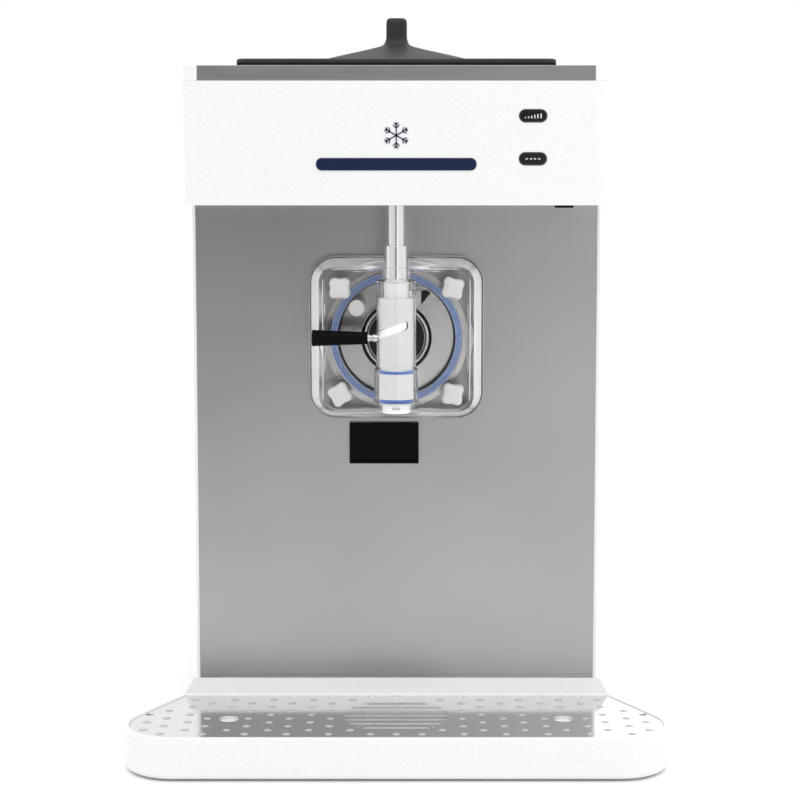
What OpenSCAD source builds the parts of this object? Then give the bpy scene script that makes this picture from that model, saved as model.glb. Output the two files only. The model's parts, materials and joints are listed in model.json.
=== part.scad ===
// Countertop frozen drink and ice cream machine: cabinet, freezing cylinder, clear door and draw valve.
// The frame: +Z up, the front faces -Y, origin on the counter under the middle of the whole machine.

/* [Cabinet] */
// Width over the side panels
body_w = 410; // [405:1:420]
// Depth of the cabinet behind the front panel
body_d = 512; // [512:1:530]
// Height of the top deck above the counter
deck_z = 681; // [680:0.5:684]
// Thickness of the sheet metal skins
sheet = 1.5; // [1:0.1:1.8]
// Height of the rubber feet
foot_h = 14; // [12:1:14]
// Distance that the cable gland stands out behind the rear panel
gland_out = 8; // [6:1:10]

/* [Control head] */
// Overhang of the head in front of the front panel
head_reach = 80; // [76:1:90]
// Height of the underside of the head
head_z = 547.5; // [546:0.5:548]
// Height of the steel strip along the top edge
strip_h = 14.6; // [13:0.1:16]
// Radius of the front corners
head_corner = 14; // [8:1:14]

/* [Drip tray] */
// Reach of the tray in front of the front panel
tray_reach = 150; // [148:1:160]
// Height of the tray rim
tray_h = 43.6; // [42:0.1:46]
// Distance from the middle to the centre of each rounded front corner
tray_lobe_x = 214.6; // [205:0.1:220]
// Radius of the perforated insert at its front corners
insert_r = 46; // [44:0.5:48]
// Width of the tray rim around the insert
tray_rim = 5; // [4:0.5:6]
// Radius of the small drain holes
hole_r = 4; // [3:0.1:4.5]

/* [Freezing cylinder] */
// Inside radius of the cylinder
barrel_r = 60; // [58:0.5:60]
// Height of the cylinder axis
axis_z = 412.5; // [411:0.5:414]
// Inside length of the cylinder behind the front panel
barrel_len = 303; // [300:1:304]

/* [Door] */
// Width of the door flange
door_w = 175; // [170:1:180]
// Height of the door flange
door_h = 164; // [160:1:170]
// Distance from the front panel to the door's front face
door_t = 35; // [34:0.5:37]
// Horizontal distance of the studs from the middle
stud_x = 55.5; // [54:0.5:57]
// Vertical distance of the studs from the cylinder axis
stud_z = 52.5; // [51:0.5:54]

/* [Draw valve] */
// Distance from the front panel to the valve axis
valve_reach = 61; // [60:0.5:63]
// Radius of the valve piston
piston_r = 17.3; // [17:0.1:17.5]
// Height that the piston rises as the lever swings
valve_lift = 14; // [12:0.5:14]
// Swing of the lever in degrees
lever_swing = 120; // [100:5:120]
// Height of the lever at rest
lever_z = 417.3; // [416:0.1:418]

/* [Hopper] */
// Inside width of the hopper
hopper_w = 290; // [280:1:294]
// Inside length of the hopper, front to back
hopper_l = 320; // [310:1:322]
// Height of the hopper floor
hopper_floor_z = 532.5; // [532:0.5:536]
// Width of the lid
lid_w = 320; // [316:1:324]
// Length of the lid, front to back
lid_l = 350; // [346:1:352]

/* [Drive] */
// Height of the motor axis
motor_z = 270; // [268:1:272]
// Radius of the gearbox pulley
big_pulley_r = 40; // [36:1:40]
// Radius of the motor pulley
small_pulley_r = 16; // [14:1:18]

/* [Hidden] */
$fn = 48;
corner_steps = 6;
eps = 0.5;

// The cabinet
depth = tray_reach + body_d + gland_out;
front_y = -depth / 2 + tray_reach;
back_y = front_y + body_d;
half_w = body_w / 2;
panel_half = half_w - 3.5;
inner_front_y = front_y + sheet;
inner_back_y = back_y - sheet;
floor_z = foot_h + 2;
skirt_z = 60.4;
cap_z = deck_z - strip_h;
cap_w = 14.5;
deck_half = half_w - cap_w;
trim_d = 12;
side_y = front_y + trim_d;
foot_x = 160;
foot_y = [front_y + 45, back_y - 45];
run_fit = 0.05;
screw_in = 6;
side_screws = [for (y = [side_y + screw_in, back_y - screw_in], z = [90, 600]) [y, z]];
rear_screws = [for (x = [-192, 192], z = [60, 640]) [x, z]];
screw_r = 2;
screw_head_r = 4;
post_w = 20;
post_t = 2;
rail_z = [325, 350];
bulkhead_z = [270, 500];
barrel_gap = 0.5;
pan_h = 20;
louvre_pitch = 15;
louvre_h = 3.6;
louvre_w = 110;
gland_x = -130;
gland_z = 90;

// The front openings
drawer_x = -12.5;
drawer_w = 62;
drawer_z = [288, 320];
drawer_len = 245;
shelf_z = drawer_z[0] - 0.3;

// The tray and what carries it, with depths measured forward from the front panel
upright_x = 178;
tongue_x = [110, 150];
tongue_z = [13.8, 16.7];
tongue_d = 115;
lobe_d = tray_reach - tray_rim - insert_r;
insert_back_d = 2.4;
upstand_d = 2;
wide_row_d = 8;
tight_row_d = 20.5;
insert_back_x = 214;
insert_z = 40;
insert_t = 2;
hole_pitch_x = 40.4;
hole_pitch_d = 24.9;
finger_x = 165;
finger_d = 84;
finger_r = 9.8;
slots_r = 52.8;
slots_d = 73.5;
slots_pitch = 13.2;
slot_w = 7.6;

// The control head
head_front_y = front_y - head_reach;
head_wall = 2.5;
window_x = 131;
window_z = [592, 633];
switch_x = 163;
switch_y = front_y - 53;
switch_z = head_z + 1;
switch_rest = 7;
pivot_r = 1.5;
window_w = 27.4;
window_h = 13;
window_r = 6.4;
plate_w = 154;
plate_h = 12;
plate_z = 586.8;

// The hopper and its lid
hopper_y = [front_y + 15, front_y + 15 + hopper_l];
lid_z = deck_z + sheet + 0.1;
lid_t = 8;
lid_mid_y = front_y + lid_l / 2;
lid_peak_z = 708.7;
fin_top_z = 738;
feed_y = front_y + 125;
feed_r = 10;

// The cylinder and the beater
shell_r = barrel_r + 1.5;
flange_r = 72;
flange_y = front_y - 3;
barrel_back_y = front_y + barrel_len;
hub_r = 27.95;
shaft_r = 9;
disc_y = front_y + 10;
blade_low_z = 46.3;
foam_w = 184;
seal_r = 16;
disc_r = 57.5;
beater_back_y = 92;

// The drive
plate_y = 190;
boss_r = 18;
boss_y = plate_y + 6;
pulley_y = [201, 209];
pulley_flange = 3;
pulley_play = 0.5;
belt_gap = 0.35;
belt_t = 3.5;
gearbox_y = 130;
gearbox_half = 55;
gear_shaft_r = 8;
motor_y = [66, plate_y - 14];
motor_r = 48;
motor_shaft_r = 6;

// The refrigeration
comp_x = -95;
comp_y = 60;
comp_r = 75;
comp_h = 190;
comp_plate = 72;
comp_hole = 62;
condenser_x = [130, 165];
condenser_y = [-140, 120];
condenser_z = [60, 270];
shroud_t = 14;
fan_y = -10;
fan_z = 165;
fan_r = 80;
fan_x = 106;
fan_hub_r = 18;
fan_shaft_r = 4;
fan_motor_x = [62, 92];
line_z = 240;
line_x = 147;
return_z = 400;
return_x = -186;

// The door and the valve
door_back_y = flange_y - 0.3;
door_base_y = front_y - 11;
door_front_y = front_y - door_t;
face_w = 142;
face_h = 137;
valve_y = front_y - valve_reach;
piston_z = [352.9, 457];
neck_r = 12.25;
neck_top_z = 473.5;
port_z = 368;
port_r = 5.5;
ring_z = [356.9, 384.6];
housing_r = 19.3;
housing_top_z = 475;
bore_top_z = 472;
arm_r = 4;
slot_half = 4.8;
slot_steps = 16;
sleeve_r = 11.25;
tube_r = 8.4;
bleed_x = -39;
bleed_z = axis_z + 32.5;
nut_h = 18;

// ---------- Helpers ----------

// Points of an arc about (cx, cy)
function arc(cx, cy, r, a0, a1, steps) =
    [for (i = [0:steps]) let (a = a0 + (a1 - a0) * i / steps) [cx + r * cos(a), cy + r * sin(a)]];

// Outline of a rectangle with round corners, centred on the origin
function rounded_rect(w, h, r) = concat(
    arc(w / 2 - r, h / 2 - r, r, 0, 90, corner_steps),
    arc(-w / 2 + r, h / 2 - r, r, 90, 180, corner_steps),
    arc(-w / 2 + r, -h / 2 + r, r, 180, 270, corner_steps),
    arc(w / 2 - r, -h / 2 + r, r, 270, 360, corner_steps)
);

// Triangles of the walls of a swept section, with so many sides, over so many steps
function sweep_walls(steps, sides) = [
    for (i = [0:steps - 1], k = [0:sides - 1], half = [0, 1])
        let (a = sides * i + k, b = sides * i + (k + 1) % sides)
            half == 0 ? [a, b, b + sides] : [a, b + sides, a + sides]
];

// Box between two corners
module block(low, high) {
    translate(low) cube(high - low);
}

// Round bar along Y
module bar_y(x, z, r, y0, y1) {
    translate([x, y0, z]) rotate([-90, 0, 0]) cylinder(h = y1 - y0, r = r);
}

// Round bar along X
module bar_x(y, z, r, x0, x1) {
    translate([x0, y, z]) rotate([0, 90, 0]) cylinder(h = x1 - x0, r = r);
}

// Round bar along Z
module bar_z(x, y, r, z0, z1) {
    translate([x, y, z0]) cylinder(h = z1 - z0, r = r);
}

// Upright plate that faces the front, from a flat outline of X and Z
module upright(x, z, y0, y1) {
    translate([x, y1, z]) rotate([90, 0, 0]) linear_extrude(y1 - y0) children();
}

// The same shape on both sides of the middle
module both_sides() {
    children();
    mirror([1, 0, 0]) children();
}

// Round copper tube through a list of corners, with a soldered elbow at each inner corner
module tube_run(points, r) {
    for (i = [0:len(points) - 2]) {
        step = points[i + 1] - points[i];
        translate(points[i])
            rotate([0, acos(step[2] / norm(step)), atan2(step[1], step[0])])
                cylinder(h = norm(step), r = r);
    }
    for (i = [1:len(points) - 2]) translate(points[i]) sphere(r = r + 1.2);
}

// ---------- Cabinet ----------

module base_pan() {
    color("gainsboro") {
        difference() {
            block([-panel_half, inner_front_y, foot_h], [panel_half, inner_back_y, foot_h + pan_h]);
            block([-panel_half + 2, inner_front_y + 2, floor_z],
                [panel_half - 2, inner_back_y - 2, foot_h + pan_h + 1]);
            // Room for the four posts
            both_sides()
                for (y = [inner_front_y - eps, inner_back_y - post_w - 2])
                    translate([panel_half - post_w - 2.5, y, floor_z])
                        cube([post_w + 3, post_w + 2 + eps, pan_h]);
        }
        // Front upright behind the tray, and the two tongues that carry the tray
        block([-upright_x, inner_front_y, foot_h + pan_h], [upright_x, inner_front_y + 2, skirt_z]);
        both_sides()
            block([tongue_x[0], front_y - tongue_d, tongue_z[0]],
                [tongue_x[1], inner_front_y + 1, tongue_z[1]]);
    }
}

module feet() {
    color("dimgray")
        for (x = [-foot_x, foot_x], y = foot_y)
            translate([x, y, 0])
                difference() {
                    cylinder(h = foot_h, r1 = 17, r2 = 20);
                    translate([0, 0, -eps]) cylinder(h = 5 + eps, r = 6);
                }
}

// Folded steel post with its corner at (panel_half, y), its flanges towards the middle and towards -Y
module corner_post(y) {
    difference() {
        block([panel_half - post_w, y - post_w, floor_z], [panel_half, y, cap_z]);
        block([panel_half - post_w - 1, y - post_w - 1, floor_z - 1],
            [panel_half - post_t, y - post_t, cap_z + 1]);
    }
}

module chassis_frame() {
    color("silver") {
        both_sides() {
            difference() {
                union() {
                    corner_post(inner_back_y);
                    mirror([0, 1, 0]) corner_post(-inner_front_y);
                }
                for (s = side_screws) bar_x(s[0], s[1], screw_r, panel_half - post_t - 1, half_w);
                for (s = rear_screws)
                    if (s[0] > 0) bar_y(s[0], s[1], screw_r, inner_back_y - post_t - 1, back_y);
            }
            block([panel_half - post_t, inner_front_y + post_w, rail_z[0]],
                [panel_half, inner_back_y - post_w, rail_z[1]]);
        }
        // Bulkhead behind the front panel that holds the cylinder and the door studs
        difference() {
            block([-panel_half + post_t, inner_front_y + 2, bulkhead_z[0]],
                [panel_half - post_t, inner_front_y + 5, bulkhead_z[1]]);
            bar_y(0, axis_z, shell_r + barrel_gap, inner_front_y, inner_front_y + 6);
            block([drawer_x - drawer_w / 2 - 1, inner_front_y, shelf_z],
                [drawer_x + drawer_w / 2 + 1, inner_front_y + 6, drawer_z[1] + 1]);
        }
        // Shelf that the drawer slides on
        block([drawer_x - drawer_w / 2 - 6, inner_front_y + 3, shelf_z - 2],
            [drawer_x + drawer_w / 2 + 6, front_y + drawer_len, shelf_z]);
    }
}

module drive_bulkhead() {
    color("darkgray")
        difference() {
            block([-panel_half + 2, plate_y, 210], [panel_half - 2, plate_y + 3, 480]);
            for (z = [axis_z, motor_z]) bar_y(0, z, boss_r + 1, plate_y - 1, plate_y + 4);
        }
}

module front_panel() {
    color("darkgray")
        difference() {
            block([-panel_half, front_y, skirt_z], [panel_half, inner_front_y, cap_z]);
            bar_y(0, axis_z, shell_r + barrel_gap, front_y - 1, inner_front_y + 1);
            for (x = [-stud_x, stud_x], z = [-stud_z, stud_z])
                bar_y(x, axis_z + z, arm_r + 0.3, front_y - 1, inner_front_y + 1);
            block([drawer_x - drawer_w / 2 - 1, front_y - 1, drawer_z[0] - 1],
                [drawer_x + drawer_w / 2 + 1, inner_front_y + 1, drawer_z[1] + 1]);
        }
}

module corner_trims() {
    color("white")
        both_sides() block([panel_half, front_y, foot_h], [half_w, side_y, cap_z]);
}

// Side skin with returned edges and a field of cooling slots
module side_panel() {
    fold = 12;
    difference() {
        block([panel_half, side_y, foot_h], [half_w, back_y, cap_z]);
        block([panel_half - 1, side_y + fold, foot_h + fold], [half_w - sheet, back_y - fold, cap_z - fold]);
        for (i = [0:11], y = [-louvre_w, 30])
            translate([panel_half, y, 84 + louvre_pitch * i]) cube([half_w, louvre_w, louvre_h]);
        for (s = side_screws) bar_x(s[0], s[1], screw_r, panel_half - 1, half_w + 1);
    }
}

module right_side_panel() {
    color("white") side_panel();
}

module left_side_panel() {
    color("white") mirror([1, 0, 0]) side_panel();
}

module rear_panel() {
    color("white")
        difference() {
            block([-panel_half, inner_back_y, foot_h], [panel_half, back_y, cap_z]);
            for (i = [0:13], x = [-60, 70])
                translate([x, inner_back_y - 1, 90 + louvre_pitch * i]) cube([louvre_w, sheet + 2, louvre_h]);
            for (s = rear_screws) bar_y(s[0], s[1], screw_r, inner_back_y - 1, back_y + 1);
            bar_y(gland_x, gland_z, 9, inner_back_y - 1, back_y + 1);
        }
}

module top_deck() {
    color("silver")
        difference() {
            block([-deck_half, head_front_y, cap_z], [deck_half, back_y, deck_z]);
            block([-deck_half - 1, head_front_y + sheet, cap_z - 1],
                [deck_half + 1, inner_back_y, deck_z - sheet]);
            block([-hopper_w / 2 - 2, hopper_y[0] - 2, cap_z],
                [hopper_w / 2 + 2, hopper_y[1] + 2, deck_z + 1]);
        }
}

module top_side_caps() {
    outline = concat(
        [[deck_half, back_y], [deck_half, head_front_y]],
        arc(half_w - head_corner, head_front_y + head_corner, head_corner, -90, 0, corner_steps),
        [[half_w, back_y]]
    );
    color("white")
        both_sides() translate([0, 0, cap_z]) linear_extrude(strip_h) polygon(outline);
}

// Round-headed screw that points inwards along -X, with its seat at the origin
module screw() {
    rotate([0, 90, 0]) cylinder(h = 1.4, r1 = screw_head_r, r2 = 0.65 * screw_head_r);
    rotate([0, -90, 0]) cylinder(h = 5, r = screw_r);
}

module panel_screws() {
    color("silver") {
        both_sides() for (s = side_screws) translate([half_w, s[0], s[1]]) screw();
        for (s = rear_screws) translate([s[0], back_y, s[1]]) rotate([0, 0, 90]) screw();
    }
}

// ---------- Control head ----------

// Plan outline of the head, shrunk by a wall thickness
function head_outline(wall, back) = concat(
    [[half_w - wall, back], [-half_w + wall, back]],
    arc(-half_w + head_corner, head_front_y + head_corner, head_corner - wall, 180, 270, corner_steps),
    arc(half_w - head_corner, head_front_y + head_corner, head_corner - wall, 270, 360, corner_steps)
);

module control_head() {
    lug_y = [switch_y - 5, switch_y + 5];
    color("white")
        difference() {
            union() {
                difference() {
                    translate([0, 0, head_z])
                        linear_extrude(cap_z - head_z) polygon(head_outline(0, front_y));
                    translate([0, 0, head_z + head_wall])
                        linear_extrude(cap_z - head_z) polygon(head_outline(head_wall, front_y + 1));
                }
                for (x = [switch_x - 12.5, switch_x + 9.5])
                    block([x, lug_y[0], head_z + 1], [x + 3, lug_y[1], head_z + 8]);
            }
            for (z = window_z)
                upright(window_x, z, head_front_y - 1, head_front_y + head_wall + 1)
                    polygon(rounded_rect(window_w, window_h, window_r));
            block([switch_x - 9.5, switch_y - 12, head_z - 1], [switch_x + 9.5, switch_y + 12, head_z + 9]);
            bar_x(switch_y, switch_z + 3, pivot_r + run_fit, switch_x - 13, switch_x + 13);
        }
}

module name_plate() {
    color("midnightblue")
        upright(0, plate_z, head_front_y - 1, head_front_y) polygon(rounded_rect(plate_w, plate_h, 5.5));
}

module indicator_lenses() {
    color("black")
        for (z = window_z)
            upright(window_x, z, head_front_y - 1, head_front_y + head_wall)
                polygon(rounded_rect(window_w, window_h, window_r));
}

module control_board() {
    board_y = head_front_y + 12;
    color("darkgreen") {
        block([50, board_y, 578], [160, board_y + 1.6, 647]);
        for (x = [58, 152], z = [585, 612.5])
            bar_y(x, z, 3, head_front_y + head_wall, board_y);
        block([70, board_y + 1.6, 590], [100, board_y + 14, 620]);
    }
}

// Rocker under the head, resting with its front edge down
module power_switch() {
    outline = [[-10.5, -1], [-10.5, -5.8], [0, -5.2], [10.5, -5.8], [10.5, -1], [3, 3], [-3, 3]];
    color("black")
        translate([switch_x - 9, switch_y, switch_z + 3])
            rotate([switch_rest, 0, 0]) {
                rotate([90, 0, 90]) linear_extrude(18) polygon(outline);
                bar_x(0, 0, pivot_r, -3, 21);
            }
}

// ---------- Hopper ----------

module hopper() {
    w = hopper_w / 2;
    color("silver")
        difference() {
            union() {
                block([-w - sheet, hopper_y[0] - sheet, hopper_floor_z - sheet],
                    [w + sheet, hopper_y[1] + sheet, deck_z + sheet]);
                block([-w - 7, hopper_y[0] - 7, deck_z], [w + 7, hopper_y[1] + 7, deck_z + sheet]);
            }
            block([-w, hopper_y[0], hopper_floor_z], [w, hopper_y[1], deck_z + 5]);
            bar_z(0, feed_y, feed_r + 2.5, hopper_floor_z - 5, hopper_floor_z + 5);
            for (x = [-50, -30]) bar_y(x, 565, 4, hopper_y[1] - 1, hopper_y[1] + 5);
        }
}

module hopper_lid() {
    mid_w = lid_w / 2;
    color("dimgray") {
        translate([0, lid_mid_y, lid_z]) linear_extrude(lid_t) polygon(rounded_rect(lid_w, lid_l, 12));
        // Rim that drops into the hopper
        difference() {
            block([-hopper_w / 2 + 5, hopper_y[0] + 5, lid_z - 12],
                [hopper_w / 2 - 5, hopper_y[1] - 5, lid_z + 1]);
            block([-hopper_w / 2 + 8, hopper_y[0] + 8, lid_z - 13],
                [hopper_w / 2 - 8, hopper_y[1] - 8, lid_z]);
        }
        // Sloped crown and its lifting fin
        translate([0, lid_mid_y, lid_z + lid_t - 0.2])
            linear_extrude(lid_peak_z - lid_z - lid_t + 0.2, scale = [0.15, 0.45])
                square([mid_w, mid_w * 1.5], center = true);
        translate([-11, lid_mid_y - 50, lid_peak_z - 4]) cube([22, 100, fin_top_z - lid_peak_z]);
        translate([-7, lid_mid_y - 46, fin_top_z - 5]) cube([14, 92, 5]);
    }
}

module feed_regulator() {
    color("white")
        translate([0, feed_y, 0])
            difference() {
                union() {
                    bar_z(0, 0, feed_r - 0.05, 500, 600);
                    block([-18, -4, 596], [18, 4, 604]);
                }
                bar_z(0, 0, 7.5, 499, 592);
                bar_y(0, 540, 4, -15, 0);
            }
}

module level_probe() {
    wall_y = hopper_y[1];
    color("black")
        for (x = [-50, -30]) {
            bar_y(x, 565, 4, wall_y - 14, wall_y + sheet);
            bar_y(x, 565, 7, wall_y + sheet, wall_y + 10);
        }
}

// ---------- Freezing cylinder ----------

module freezing_barrel() {
    color("silver")
        difference() {
            union() {
                bar_y(0, axis_z, shell_r, flange_y, barrel_back_y + 4);
                bar_y(0, axis_z, flange_r, flange_y, front_y);
                bar_z(0, feed_y, feed_r + 2.5, axis_z + 20, hopper_floor_z);
            }
            bar_y(0, axis_z, barrel_r, flange_y - 1, barrel_back_y);
            bar_y(0, axis_z, seal_r, barrel_back_y - 1, barrel_back_y + 5);
            bar_z(0, feed_y, feed_r, axis_z + 19, hopper_floor_z + 1);
        }
}

// Jacket of evaporator turns, with a rib for each turn
module evaporator_jacket() {
    turns = 17;
    pitch = 13;
    start_y = front_y + 35;
    color("peru")
        difference() {
            union() {
                bar_y(0, axis_z, shell_r + 3, start_y, start_y + pitch * turns + 4);
                for (i = [0:turns - 1])
                    bar_y(0, axis_z, shell_r + 6, start_y + pitch * i + 4, start_y + pitch * (i + 1));
            }
            bar_y(0, axis_z, shell_r, start_y - 1, start_y + pitch * turns + 5);
            bar_z(0, feed_y, feed_r + 3, axis_z, hopper_floor_z);
        }
}

module barrel_insulation() {
    color("khaki")
        difference() {
            block([-foam_w / 2, front_y + 18, 324], [foam_w / 2, front_y + 288, 506]);
            bar_y(0, axis_z, shell_r + 7, front_y, front_y + 300);
            bar_z(0, feed_y, feed_r + 3, axis_z, 520);
        }
}

module beater() {
    color("silver")
        translate([0, 0, axis_z]) {
            difference() {
                bar_y(0, 0, disc_r, disc_y, disc_y + 3);
                // Window that lets the mix past the front disc
                translate([0, disc_y + 4, 0]) rotate([90, 0, 0]) linear_extrude(5)
                    polygon(concat(arc(0, 0, disc_r - 1.5, 52, 104, 8), arc(0, 0, 36.6, 104, 52, 8)));
            }
            bar_y(0, 0, shaft_r, disc_y, gearbox_y + 22);
            difference() {
                bar_y(0, 0, 52, beater_back_y, beater_back_y + 4);
                for (a = [0, 90, 180, 270])
                    rotate([0, a, 0]) bar_y(30, 0, 13, beater_back_y - 1, beater_back_y + 5);
            }
            // Bars that carry the blades
            for (turn = [0, 180])
                rotate([0, turn, 0]) block([17, disc_y + 2, 24], [25, beater_back_y + 1, blade_low_z]);
        }
}

module beater_hub() {
    color("black")
        difference() {
            bar_y(0, axis_z, hub_r, disc_y - 12, disc_y);
            bar_y(0, axis_z, 20, disc_y - 13, disc_y - 9);
            bar_y(0, axis_z, 7, disc_y - 13, disc_y - 4);
        }
}

// Two blades along the cylinder, each with a bevelled edge that sweeps the wall
module scraper_blades() {
    outline = [[12.5, blade_low_z], [31.5, blade_low_z], [33, 49.2], [27, 50.8], [12.5, 50.2]];
    color("white")
        translate([0, 0, axis_z])
            for (turn = [0, 180])
                rotate([0, turn, 0]) upright(0, 0, disc_y + 3.5, beater_back_y - 1) polygon(outline);
}

module drive_shaft_seal() {
    color("black")
        difference() {
            bar_y(0, axis_z, seal_r, barrel_back_y - 1.5, barrel_back_y + 5);
            bar_y(0, axis_z, shaft_r + run_fit, barrel_back_y - 3, barrel_back_y + 6);
        }
}

module front_bearing() {
    color("white")
        difference() {
            bar_y(0, axis_z, 36, door_back_y, disc_y - 0.5);
            bar_y(0, axis_z, hub_r + run_fit, door_back_y - 1, disc_y);
        }
}

// ---------- Drive ----------

module gearbox() {
    color("slategray")
        difference() {
            union() {
                block([-gearbox_half, gearbox_y, axis_z - gearbox_half],
                    [gearbox_half, plate_y, axis_z + gearbox_half]);
                bar_y(0, axis_z, 26, gearbox_y - 5, gearbox_y + 1);
                bar_y(0, axis_z, boss_r, plate_y - 1, boss_y);
            }
            bar_y(0, axis_z, shaft_r + run_fit, gearbox_y - 6, gearbox_y + 24);
            bar_y(0, axis_z, gear_shaft_r + run_fit, gearbox_y + 38, boss_y + 1);
        }
}

// Flanged belt pulley with its shaft
module pulley(z, r, shaft, shaft_y) {
    rim = [pulley_y[0] - pulley_play, pulley_y[1] + pulley_play];
    bar_y(0, z, r, rim[0], rim[1]);
    for (y = [rim[0] - 2, rim[1]]) bar_y(0, z, r + pulley_flange, y, y + 2);
    bar_y(0, z, shaft, shaft_y, pulley_y[1] + 5);
}

module gearbox_pulley() {
    color("silver") pulley(axis_z, big_pulley_r, gear_shaft_r, gearbox_y + 40);
}

module motor_pulley() {
    color("silver") pulley(motor_z, small_pulley_r, motor_shaft_r, motor_y[1] + 2);
}

// Line that runs round both pulleys at a distance from them, about the motor axis
function belt_outline(away) =
    let (centres = axis_z - motor_z, lean = asin((big_pulley_r - small_pulley_r) / centres))
        concat(
            arc(0, centres, big_pulley_r + away, -lean, 180 + lean, 24),
            arc(0, 0, small_pulley_r + away, 180 + lean, 360 - lean, 24)
        );

module drive_belt() {
    color("black")
        upright(0, motor_z, pulley_y[0], pulley_y[1])
            difference() {
                polygon(belt_outline(belt_gap + belt_t));
                polygon(belt_outline(belt_gap));
            }
}

module drive_motor() {
    color("dimgray")
        difference() {
            union() {
                bar_y(0, motor_z, motor_r, motor_y[0] + 10, motor_y[1]);
                bar_y(0, motor_z, motor_r + 2, motor_y[0], motor_y[0] + 10);
                bar_y(0, motor_z, motor_r + 2, motor_y[1], plate_y);
                bar_y(0, motor_z, boss_r, plate_y - 1, boss_y);
                // Terminal box under the motor
                block([-20, 90, motor_z - motor_r - 10], [20, 150, motor_z - motor_r + 8]);
            }
            bar_y(0, motor_z, motor_shaft_r + run_fit, motor_y[1], boss_y + 1);
        }
}

// ---------- Refrigeration ----------

module compressor() {
    outline = concat(
        [[0, 0]],
        arc(comp_r - 20, 20, 20, -90, 0, corner_steps),
        arc(comp_r - 40, comp_h - 40, 40, 0, 90, corner_steps),
        [[0, comp_h]]
    );
    color("black")
        translate([comp_x, comp_y, floor_z]) {
            translate([0, 0, 4]) rotate_extrude() polygon(outline);
            difference() {
                block([-comp_plate, -comp_plate, 0], [comp_plate, comp_plate, 4.2]);
                for (x = [-comp_hole, comp_hole], y = [-comp_hole, comp_hole]) bar_z(x, y, 5, -1, 5);
            }
        }
}

module condenser() {
    fins = 25;
    leg = 15;
    fin_t = 4;
    cut = 12;
    pitch = (condenser_y[1] - condenser_y[0] - 2 * fin_t) / fins;
    color("silver")
        difference() {
            block([condenser_x[0], condenser_y[0], floor_z],
                [condenser_x[1], condenser_y[1], condenser_z[1]]);
            // Gap between the two legs
            block([condenser_x[0] - 1, condenser_y[0] + leg, floor_z - 1],
                [condenser_x[1] + 1, condenser_y[1] - leg, condenser_z[0] - fin_t]);
            for (i = [0:fins - 1], x = [condenser_x[0] - 1, condenser_x[1] - cut])
                translate([x, condenser_y[0] + 1.5 * fin_t + pitch * i, condenser_z[0]])
                    cube([cut + 1, pitch - fin_t, condenser_z[1] - condenser_z[0] - 1.5 * fin_t]);
        }
}

module fan_shroud() {
    color("dimgray")
        difference() {
            block([condenser_x[0] - shroud_t, condenser_y[0], condenser_z[0]],
                [condenser_x[0], condenser_y[1], condenser_z[1]]);
            bar_x(fan_y, fan_z, fan_r + 4, condenser_x[0] - shroud_t - 1, condenser_x[0] + 1);
        }
}

module fan_motor() {
    color("dimgray")
        translate([0, fan_y, fan_z])
            difference() {
                union() {
                    bar_x(0, 0, 30, fan_motor_x[0], fan_motor_x[1]);
                    // Four arms that reach round the blades to the shroud
                    for (a = [45:90:315])
                        rotate([a, 0, 0]) {
                            block([fan_motor_x[1] - 14, -6, 20], [fan_motor_x[1] - 8, 6, fan_r + 20]);
                            block([fan_motor_x[1] - 9, -6, fan_r + 12],
                                [condenser_x[0] - shroud_t, 6, fan_r + 20]);
                        }
                }
                bar_x(0, 0, fan_shaft_r + run_fit, fan_motor_x[1] - 17, fan_motor_x[1] + 1);
            }
}

module fan_blades() {
    color("lightgray")
        translate([fan_x, fan_y, fan_z]) {
            bar_x(0, 0, fan_hub_r, -10, 10);
            bar_x(0, 0, fan_shaft_r, -26, -6);
            for (a = [0:72:288])
                rotate([a, 0, 0]) translate([0, 0, 47]) rotate([0, 0, 32]) cube([2, 34, 62], center = true);
        }
}

module refrigerant_lines() {
    top_z = floor_z + comp_h + 4;
    color("peru") {
        // From the compressor to the condenser
        tube_run([[comp_x, comp_y, top_z], [comp_x, comp_y, line_z], [comp_x, -150, line_z],
            [line_x, -150, line_z], [line_x, condenser_y[0], line_z]], 4);
        // From the condenser to the evaporator
        tube_run([[line_x, condenser_y[1], 100], [line_x, 140, 100], [line_x, 140, return_z],
            [line_x, 30, return_z], [foam_w / 2, 30, return_z]], 3);
        // From the evaporator back to the compressor
        tube_run([[-foam_w / 2, 30, return_z], [return_x, 30, return_z], [return_x, 30, 120],
            [return_x, comp_y, 120], [comp_x - comp_r, comp_y, 120]], 5);
    }
}

module electrical_box() {
    color("lightgray")
        difference() {
            block([-190, back_y - 105, 340], [-70, inner_back_y - 2, 520]);
            block([-188, back_y - 103, 342], [-72, inner_back_y - 4, 518]);
            block([-150, back_y - 60, 330], [-120, back_y - 30, 345]);
        }
}

module cable_gland() {
    color("black")
        difference() {
            union() {
                bar_y(gland_x, gland_z, 9, inner_back_y - 12, back_y + 1);
                bar_y(gland_x, gland_z, 12, back_y, back_y + gland_out);
                translate([gland_x, inner_back_y - 7, gland_z])
                    rotate([-90, 0, 0]) cylinder(h = 7, r = 13, $fn = 6);
            }
            bar_y(gland_x, gland_z, 5, inner_back_y - 13, back_y + gland_out + 1);
        }
}

// ---------- Door ----------

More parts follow.
